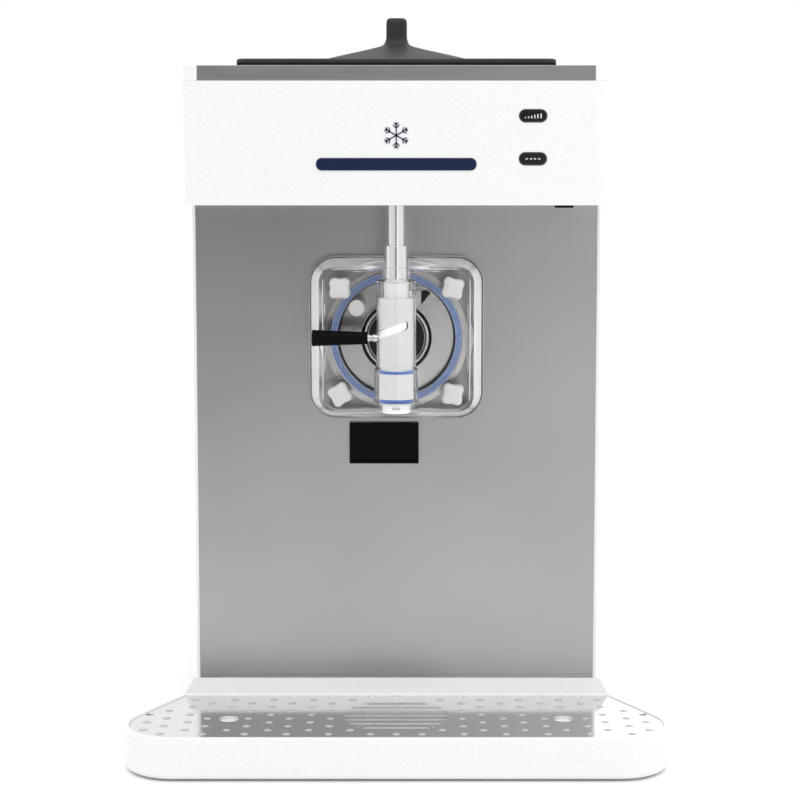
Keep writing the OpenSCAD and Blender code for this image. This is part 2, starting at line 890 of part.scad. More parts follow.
// Slot that the lever climbs: a band round the valve axis, square in section
module lever_slot() {
    r0 = piston_r - 2;
    r1 = housing_r + 4;
    ring = [[r0, -slot_half], [r1, -slot_half], [r1, slot_half], [r0, slot_half]];
    points = [
        for (i = [0:slot_steps], p = ring)
            let (a = 180 + lever_swing * i / slot_steps)
                [p[0] * cos(a), p[0] * sin(a), p[1] + valve_lift * i / slot_steps]
    ];
    last = 4 * slot_steps;
    translate([0, valve_y, lever_z]) {
        polyhedron(points, concat(
            sweep_walls(slot_steps, 4),
            [[3, 2, 1, 0], [last, last + 1, last + 2, last + 3]]
        ), convexity = 4);
        for (end = [0, 1])
            translate([0, 0, valve_lift * end])
                rotate([0, 0, lever_swing * end]) bar_x(0, 0, slot_half + 0.1, -r1, -r0);
    }
}

module door() {
    color("whitesmoke", 0.4)
        difference() {
            union() {
                upright(0, axis_z, door_base_y, door_back_y) polygon(rounded_rect(door_w, door_h, 27));
                hull() {
                    upright(0, axis_z, door_base_y - 1, door_base_y + 1)
                        polygon(rounded_rect(door_w - 5, door_h - 5, 25));
                    upright(0, axis_z, door_front_y, door_front_y + 1)
                        polygon(rounded_rect(face_w, face_h, 12));
                }
                // Valve housing and the web that joins it to the door
                bar_z(0, valve_y, housing_r, 350, housing_top_z);
                bar_z(0, valve_y, 21.5, 355, 388);
                bar_z(0, valve_y, 14, housing_top_z - 1, 486);
                block([-14, valve_y, 357], [14, door_front_y + 1, 468]);
            }
            bar_z(0, valve_y, piston_r + run_fit, 340, bore_top_z);
            bar_z(0, valve_y, neck_r + 0.15, bore_top_z - 1, 490);
            bar_y(0, port_z, port_r, valve_y, door_back_y + 1);
            bar_y(bleed_x, bleed_z, 3.5, door_front_y - 1, door_back_y + 1);
            for (x = [-stud_x, stud_x], z = [-stud_z, stud_z])
                bar_y(x, axis_z + z, arm_r + 0.5, door_front_y - 1, door_back_y + 1);
            difference() {
                bar_y(0, axis_z, 66.5, door_back_y - 5, door_back_y + 1);
                bar_y(0, axis_z, 58.5, door_back_y - 6, door_back_y + 2);
            }
            lever_slot();
        }
}

// Ring with two lips, in the groove at the back of the door
module door_seal() {
    outline = [[59, 0.2], [66, 0.2], [66, 4.9], [64.8, 5.1], [63, 3], [62, 3], [60.2, 5.1], [59, 4.9]];
    color("steelblue")
        translate([0, door_back_y - 5, axis_z]) rotate([-90, 0, 0]) rotate_extrude() polygon(outline);
}

module door_studs() {
    color("silver")
        for (x = [-stud_x, stud_x], z = [-stud_z, stud_z])
            bar_y(x, axis_z + z, arm_r, door_front_y - 13, inner_front_y + 2);
}

// Four-lobed hand nut on the stud at (x, z), turned by an angle
module hand_nut(x, z, turn) {
    lobes = [for (i = [0:47]) let (a = 7.5 * i, r = 11.2 - 1.3 * cos(4 * a)) [r * cos(a), r * sin(a)]];
    seat_y = door_front_y - 0.3;
    color("whitesmoke")
        difference() {
            upright(x, z, seat_y - nut_h, seat_y) rotate(turn) polygon(lobes);
            bar_y(x, z, arm_r + run_fit, seat_y - 14, seat_y + 1);
        }
}

module hand_nut_upper_left() {
    hand_nut(-stud_x, axis_z + stud_z, 0);
}

module hand_nut_upper_right() {
    hand_nut(stud_x, axis_z + stud_z, -12);
}

module hand_nut_lower_left() {
    hand_nut(-stud_x, axis_z - stud_z, 30);
}

module hand_nut_lower_right() {
    hand_nut(stud_x, axis_z - stud_z, -8);
}

module bleed_plug() {
    color("whitesmoke") {
        bar_y(bleed_x, bleed_z, 8, door_front_y - 11, door_front_y - 0.3);
        bar_y(bleed_x, bleed_z, 3.45, door_front_y - 1, door_back_y - 2);
    }
}

// ---------- Draw valve ----------

module draw_valve() {
    color("white")
        difference() {
            union() {
                bar_z(0, valve_y, piston_r, piston_z[0], piston_z[1]);
                bar_z(0, valve_y, neck_r, piston_z[1] - 1, neck_top_z);
                bar_z(0, valve_y, 14, 344, piston_z[0] + 1);
            }
            for (z = ring_z)
                difference() {
                    bar_z(0, valve_y, piston_r + 1, z - 1.3, z + 1.3);
                    bar_z(0, valve_y, piston_r - 2.6, z - 2, z + 2);
                }
            translate([0, valve_y, 343]) cylinder(h = 9, r1 = 12.2, r2 = 8);
            bar_x(valve_y, lever_z, arm_r + 0.02, -piston_r - 2, -8);
        }
}

module valve_o_rings() {
    color("royalblue")
        for (z = ring_z)
            translate([0, valve_y, z]) rotate_extrude() translate([piston_r - 1.3, 0]) circle(r = 1.2);
}

module lever_arm() {
    color("silver") bar_x(valve_y, lever_z, arm_r, -44, -9);
}

module lever_grip() {
    color("black")
        difference() {
            translate([-28, valve_y, lever_z]) rotate([0, -90, 0]) cylinder(h = 54.5, r1 = 6, r2 = 8.2);
            bar_x(valve_y, lever_z, arm_r + 0.02, -45, -27);
        }
}

module spring_sleeve() {
    color("silver")
        difference() {
            bar_z(0, valve_y, sleeve_r, neck_top_z + 0.1, 508);
            bar_z(0, valve_y, tube_r + run_fit, neck_top_z + 4, 509);
        }
}

module spring_tube() {
    color("silver")
        difference() {
            bar_z(0, valve_y, tube_r, 500, head_z - 0.3);
            bar_z(0, valve_y, 7, 499, head_z - 3);
        }
}

// Coil spring from the floor of the sleeve to the closed end of the tube
module return_spring() {
    turns = 11;
    steps = 12;
    sides = 5;
    wire_r = 0.8;
    coil_r = 5.6;
    low_z = neck_top_z + 4.3 + wire_r;
    rise = head_z - 3.3 - wire_r - low_z;
    count = turns * steps;
    points = [
        for (i = [0:count], k = [0:sides - 1])
            let (a = 360 * i / steps, b = 360 * k / sides, r = coil_r + wire_r * cos(b))
                [r * cos(a), r * sin(a), rise * i / count + wire_r * sin(b)]
    ];
    caps = [
        [for (k = [sides - 1:-1:0]) k],
        [for (k = [0:sides - 1]) sides * count + k]
    ];
    color("silver")
        translate([0, valve_y, low_z])
            polyhedron(points, concat(sweep_walls(count, sides), caps), convexity = 10);
}

// ---------- Drip tray and drawer ----------

// Angle at which the straight side leaves the round front corner
function side_angle(back_x, back_d, r) =
    let (dx = back_x - tray_lobe_x, dy = lobe_d - back_d)
        atan2(dy, dx) - acos(r / norm([dx, dy]));

// Plan outline, drawn with the front towards -Y
function tray_outline(back_x, back_d, r) =
    let (a = side_angle(back_x, back_d, r))
        concat(
            [[-back_x, front_y - back_d]],
            arc(-tray_lobe_x, front_y - lobe_d, r, 180 - a, 270, 10),
            arc(tray_lobe_x, front_y - lobe_d, r, -90, a, 10),
            [[back_x, front_y - back_d]]
        );

module drip_tray() {
    back_gap = 0.3;
    color("white")
        difference() {
            union() {
                translate([0, 0, 2]) linear_extrude(tray_h - 2)
                    polygon(tray_outline(insert_back_x + tray_rim, back_gap, insert_r + tray_rim));
                // Upstand that closes the gap under the front panel
                upright(0, 0, front_y - upstand_d, front_y - back_gap)
                    polygon([[-218.5, tray_h - 2], [218.5, tray_h - 2],
                        [208.5, skirt_z - 0.4], [-208.5, skirt_z - 0.4]]);
            }
            translate([0, 0, 20]) linear_extrude(50)
                polygon(tray_outline(insert_back_x - 5, 5, insert_r - 4));
            translate([0, 0, insert_z]) linear_extrude(50)
                polygon(tray_outline(insert_back_x + 0.4, upstand_d, insert_r + 0.4));
            translate([0, 0, 1]) linear_extrude(16)
                polygon(tray_outline(insert_back_x + 1, -1, insert_r + 1));
        }
}

// Rows of small holes in each column, and their places as [distance from the middle, depth]
function wide_rows(j) = j == 0 ? [0, 5] : j == 5 ? [2, 3, 4, 5] : [0, 1, 2, 3, 4, 5];
function tight_rows(j) = j == 0 ? [0, 4] : j == 3 ? [0, 1, 4] : j == 5 ? [2, 3, 4] : [0, 1, 2, 3, 4];
function hole_spots() = concat(
    [for (j = [0:5]) for (k = wide_rows(j)) [24.8 + hole_pitch_x * j, wide_row_d + hole_pitch_d * k]],
    [for (j = [0:5]) for (k = tight_rows(j))
        [44.6 + (hole_pitch_x - 0.4) * j, tight_row_d + hole_pitch_d * k]]
);

module tray_insert() {
    last_d = wide_row_d + hole_pitch_d * 5;
    color("silver")
        difference() {
            translate([0, 0, insert_z + 0.1]) linear_extrude(insert_t)
                polygon(tray_outline(insert_back_x, insert_back_d, insert_r));
            both_sides()
                for (p = hole_spots()) bar_z(p[0], front_y - p[1], hole_r, insert_z - 1, insert_z + 5);
            for (d = [wide_row_d, last_d]) bar_z(0, front_y - d, hole_r, insert_z - 1, insert_z + 5);
            both_sides() bar_z(finger_x, front_y - finger_d, finger_r, insert_z - 1, insert_z + 5);
            // Round field of cross slots under the spout
            intersection() {
                bar_z(0, front_y - slots_d, slots_r, insert_z - 1, insert_z + 5);
                for (i = [-3:3])
                    translate([-60, front_y - slots_d + slots_pitch * i - slot_w / 2, insert_z - 2])
                        cube([120, slot_w, 8]);
            }
        }
}

module drip_drawer() {
    left = drawer_x - drawer_w / 2;
    right = drawer_x + drawer_w / 2;
    color("black") {
        difference() {
            block([left, front_y - 1, drawer_z[0]], [right, front_y + drawer_len, drawer_z[1]]);
            block([left + 2, front_y + 3, drawer_z[0] + 2],
                [right - 2, front_y + drawer_len - 2, drawer_z[1] + 1]);
        }
        block([drawer_x - 35, front_y - 6, 284], [drawer_x + 35, front_y - 0.4, 325]);
        block([drawer_x - 35, front_y - 9, 284], [drawer_x + 35, front_y - 5, 287]);
    }
}

base_pan();
feet();
chassis_frame();
drive_bulkhead();
front_panel();
corner_trims();
left_side_panel();
right_side_panel();
rear_panel();
top_deck();
top_side_caps();
panel_screws();
control_head();
name_plate();
indicator_lenses();
control_board();
power_switch();
hopper();
hopper_lid();
feed_regulator();
level_probe();
freezing_barrel();
evaporator_jacket();
barrel_insulation();
beater();
beater_hub();
scraper_blades();
drive_shaft_seal();
front_bearing();
gearbox();
gearbox_pulley();
drive_belt();
motor_pulley();
drive_motor();
compressor();
condenser();
fan_shroud();
fan_motor();
fan_blades();
refrigerant_lines();
electrical_box();
cable_gland();
door();
door_seal();
door_studs();
hand_nut_upper_left();
hand_nut_upper_right();
hand_nut_lower_left();
hand_nut_lower_right();
bleed_plug();
draw_valve();
valve_o_rings();
lever_arm();
lever_grip();
spring_sleeve();
spring_tube();
return_spring();
drip_tray();
tray_insert();
drip_drawer();
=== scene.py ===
"""Looks of the countertop frozen drink machine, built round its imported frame."""
import json
import math

import bmesh
import bpy
from mathutils import Matrix, Vector


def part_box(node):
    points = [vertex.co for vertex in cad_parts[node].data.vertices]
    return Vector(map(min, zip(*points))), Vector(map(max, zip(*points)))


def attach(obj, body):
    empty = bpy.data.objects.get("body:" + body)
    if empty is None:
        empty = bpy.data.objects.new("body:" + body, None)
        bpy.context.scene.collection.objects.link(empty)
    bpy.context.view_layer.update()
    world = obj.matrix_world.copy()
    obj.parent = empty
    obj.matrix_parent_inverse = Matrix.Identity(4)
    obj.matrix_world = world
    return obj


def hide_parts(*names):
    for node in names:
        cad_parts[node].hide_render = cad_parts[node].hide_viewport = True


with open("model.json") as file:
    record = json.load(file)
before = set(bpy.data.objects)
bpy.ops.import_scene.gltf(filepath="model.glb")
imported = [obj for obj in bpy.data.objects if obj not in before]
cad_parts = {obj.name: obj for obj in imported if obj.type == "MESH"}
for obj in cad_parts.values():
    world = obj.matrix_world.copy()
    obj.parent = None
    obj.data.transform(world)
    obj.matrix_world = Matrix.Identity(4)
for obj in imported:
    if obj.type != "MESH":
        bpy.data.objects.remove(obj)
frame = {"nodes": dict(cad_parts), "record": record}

MM = 0.001
NODES = frame["nodes"]
RECORD = frame["record"]
BODY_OF = {n: body for body, nodes in RECORD["behaviour"]["bodies"].items() for n in nodes}
SLOT_OF = {part["node"]: part["material_slot"] for part in RECORD["subparts"]}
MATERIALS = {}
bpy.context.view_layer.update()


# ---------- Places, all in millimetres ----------

def box(node):
    """Lowest and highest corner of a CAD node."""
    low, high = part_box(node)
    return low / MM, high / MM


def middle(node):
    """Middle of a CAD node."""
    low, high = box(node)
    return (low + high) / 2


PANEL_Y = box("front_panel")[0].y
AXIS_Z = middle("door_seal").z
VALVE = middle("spring_tube")
HEAD_Y = box("control_head")[0].y
# Width and height inside the door's bevels, and the places of its four studs
DOOR_FACE_X = 144.4
DOOR_FACE_Z = 138.8
STUD_X = 55.5
STUD_Z = 52.5
# The bores of the valve's housing, the lever's radius, its slot's sweep and rise, and the rings' heights
PISTON_R = 17.35
NECK_R = 12.4
LEVER_R = 4
SLOT_SWING = 120
SLOT_RISE = 14.0
RING_Z = (356.9, 384.6)


# ---------- Outlines ----------

def arc(cx, cy, radius, start, end, steps):
    """Points of an arc about (cx, cy), angles in degrees."""
    angles = [math.radians(start + (end - start) * i / steps) for i in range(steps + 1)]
    return [(cx + radius * math.cos(a), cy + radius * math.sin(a)) for a in angles]


def rounded_rect(width, height, radius, steps=10):
    """Outline of a rectangle with round corners about the origin."""
    x, y = width / 2 - radius, height / 2 - radius
    corners = [(x, y, 0), (-x, y, 90), (-x, -y, 180), (x, -y, 270)]
    return [p for cx, cy, a in corners for p in arc(cx, cy, radius, a, a + 90, steps)]


def soften(points, radius, steps=4, closed=False):
    """Outline with its corners rounded, up to 45% of the shorter side beside each."""
    made = []
    count = len(points)
    for i, point in enumerate(points):
        if not closed and i in (0, count - 1):
            made.append(tuple(point))
            continue
        p = Vector(point)
        to_last = Vector(points[i - 1]) - p
        to_next = Vector(points[(i + 1) % count]) - p
        half = to_last.angle(to_next, math.pi) / 2
        if abs(half - math.pi / 2) < 0.02:
            made.append(tuple(p))
            continue
        reach = min(radius / math.tan(half), 0.45 * to_last.length, 0.45 * to_next.length)
        first, last = p + to_last.normalized() * reach, p + to_next.normalized() * reach
        for k in range(steps + 1):
            t = k / steps
            made.append(tuple(first * (1 - t) ** 2 + p * 2 * t * (1 - t) + last * t ** 2))
    return made


def inset(outline, distance):
    """Closed outline, drawn anticlockwise, moved inwards."""
    made = []
    for i, point in enumerate(outline):
        p = Vector(point)
        before = (p - Vector(outline[i - 1])).normalized()
        after = (Vector(outline[(i + 1) % len(outline)]) - p).normalized()
        n1, n2 = Vector((-before.y, before.x)), Vector((-after.y, after.x))
        made.append(tuple(p + (n1 + n2) * (distance / max(0.3, 1 + n1.dot(n2)))))
    return made


def wall(low, high, low_edge=0.0, high_edge=0.0, steps=4):
    """(inset, height) pairs of an upright wall with rounded edges."""
    quarter = [math.pi / 2 * i / steps for i in range(steps + 1)]
    made = [(low_edge * (1 - math.sin(a)), low + low_edge * (1 - math.cos(a))) for a in quarter]
    made += [(high_edge * (1 - math.cos(a)), high - high_edge * (1 - math.sin(a))) for a in quarter]
    if not low_edge:
        made = made[steps:]
    if not high_edge:
        made = made[:-steps]
    return made


# ---------- Solids ----------

TURN = {
    "x": Matrix.Rotation(math.pi / 2, 3, "Y"),
    "y": Matrix.Rotation(-math.pi / 2, 3, "X"),
    "z": Matrix.Identity(3),
}
FACING_FRONT = Matrix(((1, 0, 0), (0, 0, 1), (0, 1, 0)))
LYING_FLAT = Matrix.Identity(3)


def loft(rings, bm=None):
    """Closed solid through rings of equally many points."""
    bm = bm or bmesh.new()
    loops = [[bm.verts.new(p) for p in ring] for ring in rings]
    count = len(rings[0])
    for low, high in zip(loops, loops[1:]):
        for k in range(count):
            bm.faces.new((low[k], low[(k + 1) % count], high[(k + 1) % count], high[k]))
    bm.faces.new(loops[0][::-1])
    bm.faces.new(loops[-1])
    bmesh.ops.recalc_face_normals(bm, faces=bm.faces)
    return bm


def slab(outline, profile, at=(0, 0, 0), facing=LYING_FLAT, bm=None):
    """Solid with a flat outline, through (inset, height) pairs."""
    rings = []
    for distance, height in profile:
        ring = inset(outline, distance) if distance else outline
        rings.append([Vector(at) + facing @ Vector((x, y, height)) for x, y in ring])
    return loft(rings, bm)


def lathe(profile, at, axis, closed=False, steps=72, bm=None):
    """Solid turned about an axis, from (radius, distance along the axis) points."""
    bm = bm or bmesh.new()
    rings = []
    for k in range(steps):
        a = 2 * math.pi * k / steps
        points = [Vector((r * math.cos(a), r * math.sin(a), h)) for r, h in profile]
        rings.append([bm.verts.new(Vector(at) + TURN[axis] @ p) for p in points])
    pairs = list(range(len(profile) - 1)) + ([-1] if closed else [])
    for k in range(steps):
        ring, after = rings[k], rings[(k + 1) % steps]
        for i in pairs:
            bm.faces.new((ring[i], after[i], after[i + 1], ring[i + 1]))
    bmesh.ops.remove_doubles(bm, verts=bm.verts, dist=1e-4)
    bmesh.ops.recalc_face_normals(bm, faces=bm.faces)
    return bm


def block(low, high, bm=None):
    """Plain box between two corners, for cutters and small ribs."""
    (x0, y0, z0), (x1, y1, z1) = low, high
    outline = [(x0, y0), (x1, y0), (x1, y1), (x0, y1)]
    return slab(outline, [(0, z0), (0, z1)], bm=bm)


def rod(radius, start, end, at, axis, bm=None, steps=48):
    """Plain round bar, for cutters."""
    return lathe([(0, start), (radius, start), (radius, end), (0, end)], at, axis, steps=steps, bm=bm)


def object_of(bm, name):
    """Object with that mesh, and the mesh is given up."""
    mesh = bpy.data.meshes.new(name)
    bm.to_mesh(mesh)
    bm.free()
    made = bpy.data.objects.new(name, mesh)
    bpy.context.scene.collection.objects.link(made)
    return made


def combine(bm, other, operation="DIFFERENCE"):
    """Boolean of two closed meshes."""
    body, tool = object_of(bm, "body"), object_of(other, "tool")
    step = body.modifiers.new("combine", "BOOLEAN")
    step.operation, step.solver, step.object = operation, "EXACT", tool
    depsgraph = bpy.context.evaluated_depsgraph_get()
    mesh = bpy.data.meshes.new_from_object(body.evaluated_get(depsgraph))
    made = bmesh.new()
    made.from_mesh(mesh)
    bpy.data.objects.remove(body)
    bpy.data.objects.remove(tool)
    bpy.data.meshes.remove(mesh)
    return made


def round_edges(bm, width, segments=3, sharper_than=25):
    """Rounds every edge sharper than that many degrees."""
    limit = math.radians(sharper_than)
    edges = [e for e in bm.edges if len(e.link_faces) == 2 and e.calc_face_angle() > limit]
    bmesh.ops.bevel(
        bm, geom=edges, offset=width, offset_type="OFFSET", segments=segments,
        profile=0.5, affect="EDGES", clamp_overlap=True,
    )
    return bm


def from_cad(node, flat=0.4):
    """The node's mesh, in millimetres, with its flat faces joined."""
    bm = bmesh.new()
    bm.from_mesh(NODES[node].data)
    bmesh.ops.scale(bm, vec=(1 / MM,) * 3, verts=bm.verts)
    bmesh.ops.remove_doubles(bm, verts=bm.verts, dist=0.004)
    bmesh.ops.dissolve_limit(bm, angle_limit=math.radians(flat), verts=bm.verts, edges=bm.edges)
    return bm


# ---------- Pieces ----------

def piece(bm, name, body, slot, stands_for=(), crease=35):
    """Piece of the visual model, from a mesh in millimetres."""
    bmesh.ops.scale(bm, vec=(MM,) * 3, verts=bm.verts)
    made = object_of(bm, name)
    made.data.materials.append(MATERIALS[slot])
    made.data.shade_smooth()
    made.data.set_sharp_from_angle(angle=math.radians(crease))
    normals = made.modifiers.new("flat faces stay flat", "WEIGHTED_NORMAL")
    normals.keep_sharp = True
    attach(made, body)
    if stands_for:
        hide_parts(*stands_for)
    return made


def stand_for(node, bm, crease=35):
    """Piece that takes the place, body and finish of a CAD node."""
    return piece(bm, "visual_" + node, BODY_OF[node], SLOT_OF[node], [node], crease)


def refined(node, width, segments=3):
    """Piece that is the CAD node with rounded edges."""
    return stand_for(node, round_edges(from_cad(node), width, segments))


# ---------- Materials ----------

# Part of the noise textures' range that the tones are spread over
NOISE_SPAN = (0.3, 0.7)


def finish(slot, colour, rough, metal=0.0, grain=(400, 400, 400), shade=0.04, spread=0.04,
           relief=0.1, depth=0.00005, patch=2.5, patch_shade=0.03, **sockets):
    """Material whose colour, roughness and relief follow a fine grain and broad soft patches."""
    made = bpy.data.materials.new(slot)
    made.use_nodes = True
    tree = made.node_tree
    shader = tree.nodes["Principled BSDF"]
    place = tree.nodes.new("ShaderNodeTexCoord")

    def noise(scale, detail):
        stretch = tree.nodes.new("ShaderNodeMapping")
        stretch.inputs["Scale"].default_value = scale
        texture = tree.nodes.new("ShaderNodeTexNoise")
        texture.inputs["Scale"].default_value = 1.0
        texture.inputs["Detail"].default_value = detail
        tree.links.new(place.outputs["Object"], stretch.inputs["Vector"])
        tree.links.new(stretch.outputs["Vector"], texture.inputs["Vector"])
        return texture.outputs["Fac"]

    def ramp(fac, low, high):
        node = tree.nodes.new("ShaderNodeValToRGB")
        first, last = node.color_ramp.elements
        first.position, last.position = NOISE_SPAN
        first.color, last.color = low, high
        tree.links.new(fac, node.inputs["Fac"])
        return node.outputs["Color"]

    fine, broad = noise(grain, 5), noise((patch,) * 3, 2)
    dark = tuple(c * (1 - shade) for c in colour) + (1.0,)
    light = tuple(min(1.0, c * (1 + shade)) for c in colour) + (1.0,)
    veil = (1 - patch_shade,) * 3 + (1.0,)
    tint = tree.nodes.new("ShaderNodeMixRGB")
    tint.blend_type = "MULTIPLY"
    tint.inputs["Fac"].default_value = 1.0
    tree.links.new(ramp(fine, dark, light), tint.inputs["Color1"])
    tree.links.new(ramp(broad, veil, (1, 1, 1, 1)), tint.inputs["Color2"])
    tree.links.new(tint.outputs["Color"], shader.inputs["Base Color"])

    gloss = tree.nodes.new("ShaderNodeMapRange")
    gloss.inputs["From Min"].default_value = NOISE_SPAN[0]
    gloss.inputs["From Max"].default_value = NOISE_SPAN[1]
    gloss.inputs["To Min"].default_value = max(0.0, rough - spread)
    gloss.inputs["To Max"].default_value = rough + spread
    tree.links.new(fine, gloss.inputs["Value"])
    tree.links.new(gloss.outputs["Result"], shader.inputs["Roughness"])

    if relief:
        bump = tree.nodes.new("ShaderNodeBump")
        bump.inputs["Strength"].default_value = relief
        bump.inputs["Distance"].default_value = depth
        tree.links.new(fine, bump.inputs["Height"])
        tree.links.new(bump.outputs["Normal"], shader.inputs["Normal"])

    shader.inputs["Metallic"].default_value = metal
    for name, value in sockets.items():
        shader.inputs[name.replace("_", " ")].default_value = value
    MATERIALS[slot] = made
    return made


def cloud_bevels(made, reach_x, reach_z, middle_z, side, level):
    """Makes a clear material cloudy on the bevels round a flat face.

    The bevels lie beyond reach_x and reach_z; side and level say how cloudy the two kinds are.
    """
    tree = made.node_tree
    shader = tree.nodes["Principled BSDF"]
    place = tree.nodes.new("ShaderNodeTexCoord")

    def math_node(operation):
        node = tree.nodes.new("ShaderNodeMath")
        node.operation = operation
        return node

    def away(output, axis, low, high, centre=0.0):
        """How far a coordinate or a normal lies from its centre, from 0 at low to 1 at high."""
        split = tree.nodes.new("ShaderNodeSeparateXYZ")
        shift, size = math_node("SUBTRACT"), math_node("ABSOLUTE")
        shift.inputs[1].default_value = centre
        step = tree.nodes.new("ShaderNodeMapRange")
        step.interpolation_type = "SMOOTHSTEP"
        step.inputs["From Min"].default_value = low
        step.inputs["From Max"].default_value = high
        tree.links.new(place.outputs[output], split.inputs["Vector"])
        tree.links.new(split.outputs[axis], shift.inputs[0])
        tree.links.new(shift.outputs["Value"], size.inputs[0])
        tree.links.new(size.outputs["Value"], step.inputs["Value"])
        return step.outputs["Result"]

    def band(facing, place_far, amount):
        both, scaled = math_node("MULTIPLY"), math_node("MULTIPLY")
        tree.links.new(facing, both.inputs[0])
        tree.links.new(place_far, both.inputs[1])
        tree.links.new(both.outputs["Value"], scaled.inputs[0])
        scaled.inputs[1].default_value = amount
        return scaled.outputs["Value"]

    # Width over which the haze sets in, in metres
    fade = 0.0006
    beyond_x = away("Object", "X", reach_x, reach_x + fade)
    beyond_z = away("Object", "Z", reach_z, reach_z + fade, middle_z)
    sides = band(away("Normal", "X", 0.55, 0.85), beyond_x, side)
    levels = band(away("Normal", "Z", 0.45, 0.80), beyond_z, level)
    larger, left = math_node("MAXIMUM"), math_node("SUBTRACT")
    left.inputs[0].default_value = 1.0
    tree.links.new(sides, larger.inputs[0])
    tree.links.new(levels, larger.inputs[1])
    tree.links.new(larger.outputs["Value"], left.inputs[1])
    tree.links.new(left.outputs["Value"], shader.inputs["Transmission Weight"])


# Grains brushed along X and along Z
ALONG_X = (10, 1500, 1500)
ALONG_Z = (1500, 1500, 7)

finish("white_paint", (0.775, 0.785, 0.78), 0.34, grain=(500, 500, 500), shade=0.01, relief=0.12)
finish("white_plastic", (0.83, 0.84, 0.835), 0.28, grain=(700, 700, 700), shade=0.01, relief=0.05)
finish("white_nylon", (0.62, 0.62, 0.615), 0.36, grain=(900, 900, 900), shade=0.015, relief=0.1,
       Subsurface_Weight=0.15, Subsurface_Scale=0.003)
finish("acetal", (0.965, 0.97, 0.97), 0.30, grain=(900, 900, 900), shade=0.01, relief=0.0, patch_shade=0.01)
finish("charcoal_plastic", (0.038, 0.038, 0.039), 0.52, grain=(1300, 1300, 1300), shade=0.12, relief=0.4,
       Specular_IOR_Level=0.2)
finish("black_plastic", (0.003, 0.003, 0.0033), 0.36, grain=(1300, 1300, 1300), shade=0.12, relief=0.2,
       Specular_IOR_Level=0.05)
finish("navy_plastic", (0.010, 0.018, 0.055), 0.25, grain=(900, 900, 900), relief=0.0,
       Specular_IOR_Level=0.2)
finish("dark_window", (0.012, 0.012, 0.013), 0.10, grain=(600, 600, 600), relief=0.0, Coat_Weight=0.6)
finish("brushed_steel", (0.415, 0.409, 0.400), 0.29, 1.0, grain=ALONG_Z, shade=0.01, spread=0.01,
       relief=0.02, depth=0.00002, patch=6, patch_shade=0.08)
finish("deck_steel", (0.33, 0.324, 0.314), 0.36, 1.0, grain=ALONG_X, shade=0.04, spread=0.03,
       relief=0.10, depth=0.00003, patch=12, patch_shade=0.10)
finish("tray_steel", (0.80, 0.80, 0.798), 0.14, 1.0, grain=ALONG_X, shade=0.02, spread=0.03,
       relief=0.06, depth=0.00003)
finish("polished_steel", (0.72, 0.71, 0.70), 0.20, 1.0, grain=(900, 900, 900), shade=0.03, relief=0.03)
finish("bright_steel", (0.66, 0.66, 0.655), 0.14, 1.0, grain=(900, 900, 900), shade=0.03, relief=0.05)
finish("galvanised", (0.50, 0.51, 0.52), 0.42, 1.0, grain=(60, 60, 60), shade=0.16, spread=0.10, relief=0.1)
finish("aluminium", (0.70, 0.70, 0.71), 0.30, 1.0, grain=(1200, 60, 60), shade=0.05, relief=0.2)
finish("grey_casting", (0.24, 0.26, 0.28), 0.55, 0.2, grain=(700, 700, 700), shade=0.12, relief=0.8,
       depth=0.0002)
finish("dark_paint", (0.022, 0.022, 0.024), 0.35, grain=(500, 500, 500), shade=0.1, relief=0.2)
finish("copper", (0.72, 0.36, 0.22), 0.30, 1.0, grain=(200, 200, 200), shade=0.15, spread=0.10, relief=0.1)
finish("foam", (0.66, 0.56, 0.32), 0.90, grain=(350, 350, 350), shade=0.12, relief=1.0, depth=0.0005)
finish("rubber", (0.022, 0.022, 0.022), 0.62, grain=(900, 900, 900), shade=0.12, relief=0.4)
finish("blue_seal", (0.48, 0.62, 0.95), 0.25, grain=(60, 60, 60), shade=0.01, relief=0.0, patch_shade=0.01)
finish("blue_ring", (0.05, 0.20, 0.72), 0.30, grain=(500, 500, 500), relief=0.05)
finish("clear_plastic", (0.998, 1.0, 0.999), 0.015, grain=(60, 60, 60), shade=0.002, spread=0.01,
       relief=0.0, patch_shade=0.002, IOR=1.38)
cloud_bevels(MATERIALS["clear_plastic"], DOOR_FACE_X / 2 * MM, DOOR_FACE_Z / 2 * MM, AXIS_Z * MM, 0.75, 0.45)
finish("circuit_board", (0.012, 0.13, 0.055), 0.35, grain=(160, 160, 160), shade=0.25, relief=0.2)
finish("fan_plastic", (0.20, 0.21, 0.22), 0.45, grain=(900, 900, 900), shade=0.08, relief=0.2)

for node, shown in NODES.items():
    shown.data.materials[0] = MATERIALS[SLOT_OF[node]]
    shown.data.shade_smooth()
    shown.data.set_sharp_from_angle(angle=math.radians(30))


# ---------- Cabinet ----------

def front_panel():
    """Brushed sheet with a folded hem along its lower edge."""
    low, high = box("front_panel")
    hem_low, hem_high, hem_deep = 2.6, 4.2, 1.0
    groove = block((low.x - 5, low.y - 1, low.z + hem_low), (high.x + 5, low.y + hem_deep, low.z + hem_high))
    stand_for("front_panel", round_edges(combine(from_cad("front_panel"), groove), 0.6, 3))


